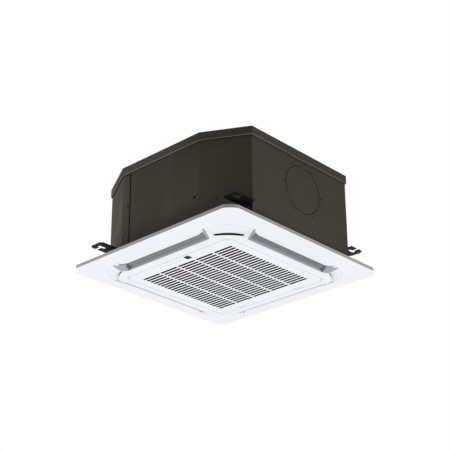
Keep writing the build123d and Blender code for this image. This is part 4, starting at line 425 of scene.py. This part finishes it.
# rounding of each piece's edges, in millimetres
softened = {
    "panel_frame": 0.5, "corner_cover_near": 0.4, "corner_cover_right": 0.4, "corner_cover_far": 0.4,
    "corner_cover_left": 0.4, "slot_inserts": 0.3, "grille": 0.25, "latch_left": 0.3, "latch_right": 0.3,
    "louvre_front": 0.3, "louvre_right": 0.3, "louvre_rear": 0.3, "louvre_left": 0.3, "receiver_window": 0.4,
    "indicator_lenses": 0.2, "top_pan": 0.4, "casing_wrap": 0.3, "left_plate": 0.3, "pipe_cover": 0.2,
    "hanger_front_right": 0.3, "hanger_rear_right": 0.3, "hanger_rear_left": 0.3, "hanger_front_left": 0.3,
    "bell_mouth": 0.4, "turbo_fan": 0.5, "fan_motor": 0.5, "drain_pan": 1.0, "drain_pump": 0.6,
    "drain_outlet": 0.4, "cable_grommet": 0.6, "rubber_mounts": 1.0, "flare_nuts": 0.6, "return_bends": 0.1,
    "gas_pipe": 0.2, "liquid_pipe": 0.2, "control_box": 0.3, "control_cover": 0.3,
}
rounding = {"smoothBelow": 32.0, "flatBelow": 0.6, "segments": 2, "decimals": 7}  # angles in degrees


def softenedCopy(node, width, settings):
    # the node's own surface: its loose triangles joined, flat areas merged, and its sharp edges rounded
    source = nodes[node].data
    points = np.zeros(len(source.vertices) * 3)
    source.vertices.foreach_get("co", points)
    corners = np.zeros(len(source.loops), dtype=np.int64)
    source.loops.foreach_get("vertex_index", corners)
    points = points.reshape(-1, 3)
    unique, index = np.unique(np.round(points, settings["decimals"]), axis=0, return_inverse=True)
    triangles = index.reshape(-1)[corners].reshape(-1, 3)
    sound = (triangles[:, 0] != triangles[:, 1]) & (triangles[:, 1] != triangles[:, 2]) \
        & (triangles[:, 0] != triangles[:, 2])
    mesh = meshFrom(node + "_form", unique, triangles[sound])
    work = bmesh.new()
    work.from_mesh(mesh)
    bmesh.ops.dissolve_limit(work, angle_limit=math.radians(settings["flatBelow"]), verts=work.verts,
                             edges=work.edges)
    work.to_mesh(mesh)
    work.free()
    mesh.shade_smooth()
    mesh.set_sharp_from_angle(angle=math.radians(settings["smoothBelow"]))
    piece = addPiece(node + "_form", mesh, bodyOf[node], slotOf[node], [node])
    rounded = piece.modifiers.new("roundedEdges", "BEVEL")
    rounded.width = width / 1000
    rounded.segments = settings["segments"]
    rounded.limit_method = "ANGLE"
    rounded.angle_limit = math.radians(settings["smoothBelow"])
    rounded.use_clamp_overlap = True
    rounded.harden_normals = True


for node, width in softened.items():
    softenedCopy(node, width, rounding)
print("edges rounded on", len(softened), "pieces")

# coil: separate fins along the ring, and the tubes that run through them

coil = {"half": 0.206, "corner": 0.042, "end": 0.118, "depth": 0.036, "bottom": 0.046, "top": 0.2755,
        "pitch": 0.0021, "fin": 0.00018, "tubeRadius": 0.00475, "rowPitch": 0.018, "firstTube": 0.066,
        "bendPitch": 0.052, "tubePitch": 0.0254, "bends": 4, "sides": 8, "tubeStep": 0.012,
        "samples": 14001}


def coilLine(settings, step):
    # heading turns steadily through a quarter at each corner and is constant between;
    # the line is its running sum
    run = settings["half"] - settings["corner"]
    arc = math.pi / 2 * settings["corner"]
    lengths = np.array([settings["end"] + run, arc, 2 * run, arc, 2 * run, arc, settings["end"] + run])
    knots = np.concatenate([[0.0], np.cumsum(lengths)])
    headings = np.array([0, 0, 1, 1, 2, 2, 3, 3]) * math.pi / 2
    fine = np.linspace(0.0, knots[-1], settings["samples"])
    heading = np.interp(fine, knots, headings)
    gap = fine[1] - fine[0]
    middle = (heading[1:] + heading[:-1]) / 2
    x = -settings["end"] + np.concatenate([[0.0], np.cumsum(np.cos(middle)) * gap])
    y = -settings["half"] + np.concatenate([[0.0], np.cumsum(np.sin(middle)) * gap])
    along = np.arange(step / 2, knots[-1], step)
    return np.interp(along, fine, x), np.interp(along, fine, y), np.interp(along, fine, heading)


def coilFins(settings):
    # each fin is a thin upright slab square to the coil's line
    x, y, heading = coilLine(settings, settings["pitch"])
    outward = np.stack([np.sin(heading), -np.cos(heading), np.zeros_like(heading)], -1)
    forward = np.stack([np.cos(heading), np.sin(heading), np.zeros_like(heading)], -1)
    centre = np.stack([x, y, np.zeros_like(x)], -1)
    across = np.array([-1, 1, 1, -1, -1, 1, 1, -1]) * settings["depth"] / 2
    through = np.array([-1, -1, 1, 1, -1, -1, 1, 1]) * settings["fin"] / 2
    height = np.array([settings["bottom"]] * 4 + [settings["top"]] * 4)
    points = centre[:, None] + across[:, None] * outward[:, None] + through[:, None] * forward[:, None]
    points[..., 2] = height
    return points, copiesOf(8, slabQuads, len(x))


def coilTubes(settings):
    # round tubes at two depths follow the coil's line at the height of each bend's two legs
    x, y, heading = coilLine(settings, settings["tubeStep"])
    outward = np.stack([np.sin(heading), -np.cos(heading), np.zeros_like(heading)], -1)
    centre = np.stack([x, y, np.zeros_like(x)], -1)
    legs = settings["firstTube"] + settings["bendPitch"] * np.arange(settings["bends"])
    heights = np.concatenate([legs, legs + settings["tubePitch"]])
    angle = np.arange(settings["sides"]) * 2 * math.pi / settings["sides"]
    rows = np.array([-0.5, 0.5]) * settings["rowPitch"]
    offset = rows[:, None, None, None] + settings["tubeRadius"] * np.cos(angle)[None, None, None, :]
    offset = np.broadcast_to(offset, (2, len(heights), len(x), len(angle)))
    rise = heights[None, :, None, None] + settings["tubeRadius"] * np.sin(angle)[None, None, None, :]
    rise = np.broadcast_to(rise, offset.shape)
    points = centre[None, None, :, None] + offset[..., None] * outward[None, None, :, None]
    points[..., 2] = rise
    return points, copiesOf(len(x) * len(angle), gridQuads(len(x), len(angle), closedColumns=True),
                            2 * len(heights))


points, quads = coilFins(coil)
addPiece("coil_fin_pack", meshFrom("coil_fin_pack", points, quads), "unit", "fin_aluminium", ["coil_fins"])
points, quads = coilTubes(coil)
tubes = meshFrom("coil_tubes", points, quads)
tubes.shade_smooth()
addPiece("coil_tubes", tubes, "unit", "copper")
print("coil built:", len(points), "tube points")

# filter net: flat strands both ways, woven up and down at each crossing

net = {"pitch": 0.0026, "strand": 0.0011, "thick": 0.00045, "wave": 0.00022, "crossings": 12}


def filterNet(settings, low, high):
    # a strand's height is a sine along it, and neighbouring strands start half a wave apart
    blocks, faces, used = [], [], 0
    for way in (0, 1):
        other = 1 - way
        count = int((high[other] - low[other] - settings["strand"]) / settings["pitch"])
        lanes = low[other] + settings["strand"] / 2 + settings["pitch"] * (np.arange(count) + 0.5)
        steps = 2 * int((high[way] - low[way]) / (settings["crossings"] * settings["pitch"]))
        along = np.linspace(low[way], high[way], steps)
        middle = (low[2] + high[2]) / 2
        phase = math.pi * (np.arange(count)[:, None] + np.arange(steps)[None, :] + way)
        height = middle + settings["wave"] * np.cos(phase)
        side = np.array([-1, 1, 1, -1]) * settings["strand"] / 2
        lift = np.array([-1, -1, 1, 1]) * settings["thick"] / 2
        points = np.zeros((count, steps, 4, 3))
        points[..., way] = along[None, :, None]
        points[..., other] = lanes[:, None, None] + side[None, None, :]
        points[..., 2] = height[..., None] + lift[None, None, :]
        quads = gridQuads(steps, 4, closedColumns=True)
        ends = np.array([[3, 2, 1, 0], [4 * steps - 4, 4 * steps - 3, 4 * steps - 2, 4 * steps - 1]])
        one = np.concatenate([quads if way else quads[:, ::-1], ends if way else ends[:, ::-1]])
        faces.append(copiesOf(4 * steps, one, count) + used)
        blocks.append(points.reshape(-1, 3))
        used += count * steps * 4
    return np.concatenate(blocks), np.concatenate(faces)


low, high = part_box("filter_mesh")
points, quads = filterNet(net, low, high)
addPiece("filter_net", meshFrom("filter_net", points, quads), "filter", "filter_net", ["filter_mesh"])
print("filter net built:", len(quads), "faces")

# flared ends of the outlets: grey patches of painted shade that lie on the panel's sloping face

flare = {"core": 0.183, "foot": 0.046, "reach": 0.0885, "low": -0.032, "rise": 0.016, "bands": 3,
         "proud": 0.0002, "steps": 24, "rows": 10}
sideFlare = {"start": 0.1597, "tip": (0.1938, -0.273), "inner": -0.2356, "outer": -0.2607,
             "innerPull": (0.1992, -0.2438), "outerPull": (0.1746, -0.2612)}
nearFlare = {"start": 0.1603, "tip": (0.1700, -0.2672), "inner": -0.2362, "outer": -0.2606,
             "innerPull": (0.1712, -0.2440), "outerPull": (0.1640, -0.2612)}
# black patches at the near tips of the flares: painted shadow
tipShadow = {"start": 0.1699, "tip": (0.1762, -0.2742), "inner": -0.2652, "outer": -0.2690,
           "innerPull": (0.1738, -0.2672), "outerPull": (0.1716, -0.2706)}


def crownHeight(x, y):
    # an S-shaped rise with the distance from the core square, made of straight bands
    beyondX, beyondY = np.abs(x) - flare["core"], np.abs(y) - flare["core"]
    distance = np.hypot(np.maximum(beyondX, 0.0), np.maximum(beyondY, 0.0))
    knots = np.linspace(0.0, 1.0, flare["bands"] + 1)
    share = (distance - flare["foot"]) / (flare["reach"] - flare["foot"])
    return flare["low"] + flare["rise"] * np.interp(share, knots, knots * knots * (3 - 2 * knots))


def flareGrid(shape, side, turn):
    # rows run between two parabolas, from the outlet's end to the common tip
    share = np.linspace(0.0, 1.0, flare["steps"])[:, None]
    edges = []
    for level, pull in ((shape["inner"], shape["innerPull"]), (shape["outer"], shape["outerPull"])):
        start, bend, tip = (np.array(place)[None] for place in ((shape["start"], level), pull, shape["tip"]))
        edges.append((1 - share) ** 2 * start + 2 * share * (1 - share) * bend + share ** 2 * tip)
    mix = np.linspace(0.0, 1.0, flare["rows"])[None, :, None]
    plan = edges[0][:, None] * (1 - mix) + edges[1][:, None] * mix
    x, y = side * plan[..., 0], plan[..., 1]
    height = crownHeight(x, y) - flare["proud"]
    cosine, sine = math.cos(turn), math.sin(turn)
    return np.stack([x * cosine - y * sine, x * sine + y * cosine, height], -1)


def flarePatches(shape, mirrored):
    # one patch at each outlet: the plain ends lie at the near and far corners,
    # the mirrored ends at the other two
    blocks, faces, used = [], [], 0
    for quarter in range(4):
        side = -1 if (quarter % 2 == 0) == mirrored else 1
        points = flareGrid(shape, side, quarter * math.pi / 2)
        quads = gridQuads(flare["steps"], flare["rows"])
        faces.append((quads if side < 0 else quads[:, ::-1]) + used)
        blocks.append(points.reshape(-1, 3))
        used += points.shape[0] * points.shape[1]
    return np.concatenate(blocks), np.concatenate(faces)


# the patches' grey is painted shade of the recessed flared ends on the white panel
flareShadeFinish = mouldedPlastic("flarePaintedShade", paints["flare"], 0.55, shine=0.25)
for label, shape, mirrored, finish in (("outlet_flare_shade_side", sideFlare, True, flareShadeFinish),
                                       ("outlet_flare_shade_near", nearFlare, False, flareShadeFinish),
                                       ("outlet_tip_shadows", tipShadow, False, None)):
    points, quads = flarePatches(shape, mirrored)
    patches = meshFrom(label, points, quads)
    patches.shade_smooth()
    addPiece(label, patches, "unit", "louvre_white" if finish else "rubber_black", finish=finish)
    print("flares built:", label, len(quads), "faces")

# corner slots: a low hood runs along each slot's inner edge, and its black wall, painted shade of the slot,
# stands up to the ledge

liner = {"centre": 0.1597, "radius": 0.08708, "halfAngle": 27.8, "ledge": -0.02535, "steps": 40,
         "drop": 0.0024, "run": 0.016, "rows": 9, "proud": 0.00005, "fade": 12}


def slotArc(settings, radius):
    # places on an arc round the slot's centre, and how far the hood hangs there; it fades out at both ends
    share = np.linspace(-1.0, 1.0, settings["steps"])
    angle = np.radians(-45.0 + settings["halfAngle"] * share)
    x = settings["centre"] + radius * np.cos(angle)
    y = -settings["centre"] + radius * np.sin(angle)
    return x, y, settings["drop"] * np.clip((1 - np.abs(share)) * settings["fade"], 0.0, 1.0)


def fourCorners(grid):
    # the near corner's grid of points, turned to all four corners
    turns = [np.array(Matrix.Rotation(quarter * math.pi / 2, 3, "Z")) for quarter in range(4)]
    flat = grid.reshape(-1, 3)
    points = np.concatenate([flat @ turn.T for turn in turns])
    return points, copiesOf(len(flat), gridQuads(grid.shape[0], grid.shape[1]), 4)


def slotWallShade(settings):
    # an upright band from the hood's edge up to the ledge, black as painted shade
    x, y, hang = slotArc(settings, settings["radius"])
    low = np.stack([x, y, np.maximum(crownHeight(x, y) - hang, flare["low"] + settings["proud"])], -1)
    high = np.stack([x, y, np.full_like(x, settings["ledge"])], -1)
    return fourCorners(np.stack([low, high]))


def slotHood(settings):
    # the hang falls with the square of the way inward, and never lower than the panel's face
    rows = []
    for way in np.linspace(0.0, 1.0, settings["rows"]):
        x, y, hang = slotArc(settings, settings["radius"] - way * settings["run"])
        height = crownHeight(x, y) - hang * (1 - way) ** 2 - settings["proud"] * (1 - way)
        rows.append(np.stack([x, y, np.maximum(height, flare["low"] + settings["proud"])], -1))
    return fourCorners(np.stack(rows))


for label, build, slotName in (("slot_wall_shade", slotWallShade, "black_plastic"),
                               ("slot_hoods", slotHood, "panel_white")):
    points, quads = build(liner)
    strip = meshFrom(label, points, quads)
    strip.shade_smooth()
    addPiece(label, strip, "unit", slotName)
print("corner slots built")

# plug of the front plate; its last ring stands at the share "middle" of the radius

plug = {"x": 0.1386, "z": 0.0925, "y": -0.2723, "radius": 0.0049, "height": 0.0012, "sides": 32,
        "rings": 8, "middle": 0.05}


def plugHead(settings):
    # rings of a shallow dome: a quarter of an ellipse from the rim to the middle
    share = np.linspace(1.0, settings["middle"], settings["rings"])[:, None]
    angle = np.arange(settings["sides"]) * 2 * math.pi / settings["sides"]
    rise = settings["height"] * np.sqrt(1 - share ** 2) + np.zeros_like(angle)
    x = settings["x"] + settings["radius"] * share * np.cos(angle)
    z = settings["z"] + settings["radius"] * share * np.sin(angle)
    points = np.stack([x, settings["y"] - rise, z], -1)
    return points, gridQuads(points.shape[0], points.shape[1], closedColumns=True)


points, quads = plugHead(plug)
plugMesh = meshFrom("front_plug", points, quads)
plugMesh.shade_smooth()
addPiece("front_plug", plugMesh, "unit", "black_plastic")
print("front plug built")

# the cap's folded hem with a painted highlight along its lower edge, and black strips of painted shadow in
# the plates' seams

bevel = {"legX": 0.1344, "frontLeg": 0.0743, "rearLeg": 0.0528, "cornerX": 0.2937, "cornerY": 0.2763,
         "inset": 0.004}
hemHighlight = {"bottom": 0.2630, "height": 0.0016, "proud": 0.0001, "tuck": -0.0009, "tabHalf": 0.0435,
       "tabMiddle": 0.0075, "drop": 0.0018}
seam = {"x": -0.1290, "width": 0.0042, "y": 0.2724, "bottom": 0.0165, "top": 0.2885, "proud": 0.00025}


def capOctagon(proud):
    # the cap's outline, with stops on the right side where the lip steps down over the knock-out
    straightX = bevel["cornerX"] - bevel["legX"]
    right, back = bevel["cornerX"], bevel["cornerY"]
    front, rear = back - bevel["frontLeg"], back - bevel["rearLeg"]
    tabFront, tabRear = hemHighlight["tabMiddle"] - hemHighlight["tabHalf"], hemHighlight["tabMiddle"] + hemHighlight["tabHalf"]
    plan = np.array([(right, -front), (right, tabFront), (right, tabFront), (right, tabRear),
                     (right, tabRear), (right, rear), (straightX, back), (-straightX, back),
                     (-right, rear), (-right, -front), (-straightX, -back), (straightX, -back)])
    drop = np.zeros(len(plan))
    drop[2:4] = hemHighlight["drop"]
    return plan * (1 + proud / right), drop


def hemHighlightBand():
    # a strip along three copies of the outline: down the outer face, then back under the lip
    plan, drop = capOctagon(hemHighlight["proud"])
    inner, _ = capOctagon(hemHighlight["tuck"])
    low = hemHighlight["bottom"] - drop - hemHighlight["proud"]
    outerTop = np.column_stack([plan, low + hemHighlight["height"]])
    outerLow = np.column_stack([plan, low])
    innerLow = np.column_stack([inner, low])
    return np.stack([outerTop, outerLow, innerLow], 0)


points = hemHighlightBand()
quads = gridQuads(points.shape[0], points.shape[1], closedColumns=True)
# the hem strip's pale paint is a painted highlight
addPiece("cap_hem_highlight", meshFrom("cap_hem_highlight", points, quads[:, ::-1]), "unit", "casing_paint",
         finish=paintedSheet("hemHighlightPaint", paints["hemHighlight"]))


def seamShadowStrips(settings):
    # a flat strip of painted shadow on the front plate and one on the rear plate
    blocks, faces = [], []
    for index, side in enumerate((-1, 1)):
        x = settings["x"] + settings["width"] * np.array([0, 1, 1, 0, 0, 1, 1, 0])
        y = side * settings["y"] + settings["proud"] * np.array([-1, -1, 1, 1, -1, -1, 1, 1])
        z = np.array([settings["bottom"]] * 4 + [settings["top"]] * 4)
        blocks.append(np.stack([x, y, z], -1))
        faces.append(slabQuads + 8 * index)
    return np.concatenate(blocks), np.concatenate(faces)


# black strips in the plates' lapped seams: painted shadow
points, quads = seamShadowStrips(seam)
addPiece("seam_shadow_strips", meshFrom("seam_shadow_strips", points, quads), "unit", "black_plastic")
print("hem and seams built")

# screws on the outside: washer, hexagon and a crossed recess

screw = {"radius": 0.004, "flats": 0.0058, "height": 0.002, "washer": 0.0007, "shoulder": 0.88,
         "recess": 0.0011, "wing": 0.0006, "wingReach": 0.55, "sides": 48, "turn": 0.7}
screwPlaces = {"rightBracket": 0.276, "leftBracket": 0.234, "endGap": 0.024, "pairHalf": 0.01,
               "bracketHeight": 0.037, "bracketLift": 0.0024, "bevelAlong": 0.0502, "bevelHeight": 0.0768,
               "seamX": -0.137, "seamY": 0.2723, "seamHeight": 0.157, "leftX": -0.2909, "leftY": -0.146,
               "leftHeights": (0.165, 0.251)}


def screwHead(settings):
    # rings run from the washer's rim to the middle; the radius goes from a circle to a hexagon,
    # and the recess drops where a ring's point is near either of the two crossed lines
    angle = np.arange(settings["sides"]) * 2 * math.pi / settings["sides"]
    sixth = (angle + math.pi / 6) % (math.pi / 3) - math.pi / 6
    hexagon = settings["flats"] / 2 / np.cos(sixth)
    circle = np.full_like(angle, settings["radius"])
    shares = np.array([1.0, 1.0, 0.0, 0.0, 0.0])
    shrink = np.array([1.0, 0.94, 1.0, 1.0, 0.86])
    height = np.array([0.0, settings["washer"], settings["washer"],
                       settings["height"] * settings["shoulder"], settings["height"]])
    radius = (shares[:, None] * circle + (1 - shares[:, None]) * hexagon) * shrink[:, None]
    dome = np.array([0.62, 0.5, 0.36, 0.22, 0.1, 0.0])
    radius = np.concatenate([radius, dome[:, None] * circle[None, :]])
    height = np.concatenate([height, np.full(len(dome), settings["height"])])
    x, y = radius * np.cos(angle), radius * np.sin(angle)
    near = np.minimum(np.abs(x), np.abs(y))
    reach = np.hypot(x, y) < settings["wingReach"] * settings["radius"]
    sunk = np.where((near < settings["wing"]) & reach, settings["recess"], 0.0)
    return np.stack([x, y, height[:, None] - sunk], -1)


def bevelSpot(sideX, sideY, along, height, lift):
    # a spot on one of the body's four bevels, measured from the bevel's front or rear end
    legX, legY = bevel["legX"], bevel["frontLeg"] if sideY < 0 else bevel["rearLeg"]
    normal = Vector((legY, legX)).normalized()
    line = Vector((legX, -legY)).normalized()
    start = Vector((bevel["cornerX"] - legX, bevel["cornerY"]))
    place = start - normal * (bevel["inset"] - lift) + line * along
    return Vector((sideX * place.x, sideY * place.y, height)), Vector((sideX * normal.x, sideY * normal.y, 0))


def screwSpots(settings):
    # two at each hanger bracket, one on the near bevel, one beside each seam and two on the left plate
    spots = []
    for sideX, sideY in ((1, -1), (1, 1), (-1, 1), (-1, -1)):
        middle = settings["rightBracket"] if sideX > 0 else settings["leftBracket"]
        length = math.hypot(bevel["legX"], bevel["frontLeg"] if sideY < 0 else bevel["rearLeg"])
        cosine = bevel["legX"] / length
        along = min((middle - bevel["cornerX"] + bevel["legX"]) / cosine, length - settings["endGap"])
        for shift in (-settings["pairHalf"], settings["pairHalf"]):
            spots.append(bevelSpot(sideX, sideY, along + shift, settings["bracketHeight"],
                                   settings["bracketLift"]))
    spots.append(bevelSpot(1, -1, settings["bevelAlong"], settings["bevelHeight"], 0.0))
    for side in (-1, 1):
        spots.append((Vector((settings["seamX"], side * settings["seamY"], settings["seamHeight"])),
                      Vector((0, side, 0))))
    for height in settings["leftHeights"]:
        spots.append((Vector((settings["leftX"], settings["leftY"], height)), Vector((-1, 0, 0))))
    return spots


def setOf(head, spots, turnStep):
    # the same head at each spot, stood on its normal and turned a little more each time
    blocks = []
    for index, (place, normal) in enumerate(spots):
        turn = normal.to_track_quat("Z", "Y").to_matrix() @ Matrix.Rotation(index * turnStep, 3, "Z")
        blocks.append(head.reshape(-1, 3) @ np.array(turn).T + np.array(place))
    return np.concatenate(blocks)


head = screwHead(screw)
spots = screwSpots(screwPlaces)
quads = gridQuads(head.shape[0], head.shape[1], closedColumns=True)
quads = copiesOf(head.shape[0] * head.shape[1], quads, len(spots))
mesh = meshFrom("body_screw_heads", setOf(head, spots, screw["turn"]), quads)
addPiece("body_screw_heads", mesh, "unit", "zinc_steel", ["body_screws"],
         paintedSheet("screwPaint", paints["screw"]))
print("screws built:", len(spots))

# drain hose: a ribbed tube along the CAD hose's own line

hose = {"x": -0.240, "y": -0.172, "bottom": 0.116, "height": 0.238, "bend": 0.017, "tail": 0.006,
        "outer": 0.009, "groove": 0.0011, "pitch": 0.0042, "bore": 0.0062, "sides": 32, "cuff": 0.012,
        "ringsPerRib": 8, "squareness": 3.0}


def ribbedHose(settings):
    # the line rises, turns a quarter and runs out; the outer radius is a rounded square wave along it
    rise = settings["height"] - settings["bend"] - settings["bottom"]
    arc = math.pi / 2 * settings["bend"]
    total = rise + arc + settings["tail"]
    along = np.linspace(0.0, total, int(total / settings["pitch"] * settings["ringsPerRib"]))
    turn = np.clip((along - rise) / settings["bend"], 0.0, math.pi / 2)
    out = settings["bend"] * (1 - np.cos(turn)) + np.maximum(along - rise - arc, 0.0)
    up = np.minimum(along, rise) + settings["bend"] * np.sin(turn)
    centre = np.stack([settings["x"] - out, np.full_like(along, settings["y"]), settings["bottom"] + up], -1)
    side = np.stack([-np.cos(turn), np.zeros_like(turn), -np.sin(turn)], -1)
    cross = np.array([0.0, 1.0, 0.0])
    cuff = np.minimum(along, total - along) < settings["cuff"]
    wave = np.sin(2 * math.pi * along / settings["pitch"])
    ripple = np.tanh(settings["squareness"] * wave) * 0.5 - 0.5
    radius = settings["outer"] + np.where(cuff, 0.0, settings["groove"] * ripple)
    bore = np.full_like(radius[::-1], settings["bore"])
    centre = np.concatenate([centre, centre[::-1]])
    side = np.concatenate([side, side[::-1]])
    radius = np.concatenate([radius, bore])
    angle = np.arange(settings["sides"]) * 2 * math.pi / settings["sides"]
    return centre[:, None] + radius[:, None, None] * (np.cos(angle)[None, :, None] * side[:, None]
                                                      + np.sin(angle)[None, :, None] * cross)


points = ribbedHose(hose)
mesh = meshFrom("ribbed_hose", points, gridQuads(points.shape[0], points.shape[1], True, True))
mesh.shade_smooth()
addPiece("ribbed_hose", mesh, "unit", "rubber_black", ["drain_hose"])
print("hose built")

# world, lamps and floor

lamps = {
    "leftLamp": {"azimuth": -60.0, "elevation": -35.0, "level": 0.53},
    "rightLamp": {"azimuth": 130.0, "elevation": -35.0, "level": 0.43},
    "lowLamp": {"azimuth": 20.0, "elevation": -84.0, "level": 0.27},
    "highLamp": {"azimuth": 20.0, "elevation": 89.0, "level": 0.5},
}
surround = {"spread": 16.0, "world": 0.24, "glossyExtra": 0.25}
ground = {"height": -4.2, "half": 14.0, "dark": (240, 240, 240), "pale": (246, 246, 246)}


def addSun(name, settings, spread):
    # level is the share of a white surface's full brightness that the lamp gives, facing it
    data = bpy.data.lights.new(name, "SUN")
    data.energy = settings["level"] * math.pi
    data.angle = math.radians(spread)
    lamp = bpy.data.objects.new(name, data)
    bpy.context.scene.collection.objects.link(lamp)
    azimuth, elevation = math.radians(settings["azimuth"]), math.radians(settings["elevation"])
    back = outwardFrom(azimuth, elevation)
    lamp.matrix_world = back.to_track_quat("Z", "Y").to_matrix().to_4x4()


for name, settings in lamps.items():
    addSun(name, settings, surround["spread"])


def makeWorld(settings):
    # white to the camera and through clear parts, a little brighter in reflections than as light
    world = bpy.data.worlds.new("paleWorld")
    world.use_nodes = True
    tree = world.node_tree
    background = tree.nodes["Background"]
    path = tree.nodes.new("ShaderNodeLightPath")
    camera = Wire(tree, path.outputs["Is Camera Ray"])
    seen = camera.atLeast(Wire(tree, path.outputs["Is Transmission Ray"]))
    glossy = Wire(tree, path.outputs["Is Glossy Ray"])
    background.inputs["Color"].default_value = (1.0, 1.0, 1.0, 1.0)
    unseen = settings["world"] + glossy * settings["glossyExtra"]
    join(tree, background.inputs["Strength"], seen + (1 - seen) * unseen)
    bpy.context.scene.world = world


makeWorld(surround)


def makeFloor(settings):
    # one large square, far below
    height, half = settings["height"], settings["half"]
    finish = Finish("paleFloor", Specular_IOR_Level=0.2)
    cloud = finish.noise(1.2, 3.0)
    colour = finish.tint(cloud, fromScreen(*settings["dark"]), fromScreen(*settings["pale"]))
    material = finish.done(colour, 0.8 + 0.1 * cloud)
    corners = np.array([[-half, -half, height], [half, -half, height], [half, half, height],
                        [-half, half, height]])
    mesh = meshFrom("floor", corners, np.array([[0, 1, 2, 3]]))
    mesh.materials.append(material)
    floor = bpy.data.objects.new("floor", mesh)
    bpy.context.scene.collection.objects.link(floor)
    floor.visible_shadow = False
    floor.visible_diffuse = False


makeFloor(ground)
bpy.context.scene.view_settings.view_transform = "Standard"
print("light and floor made")
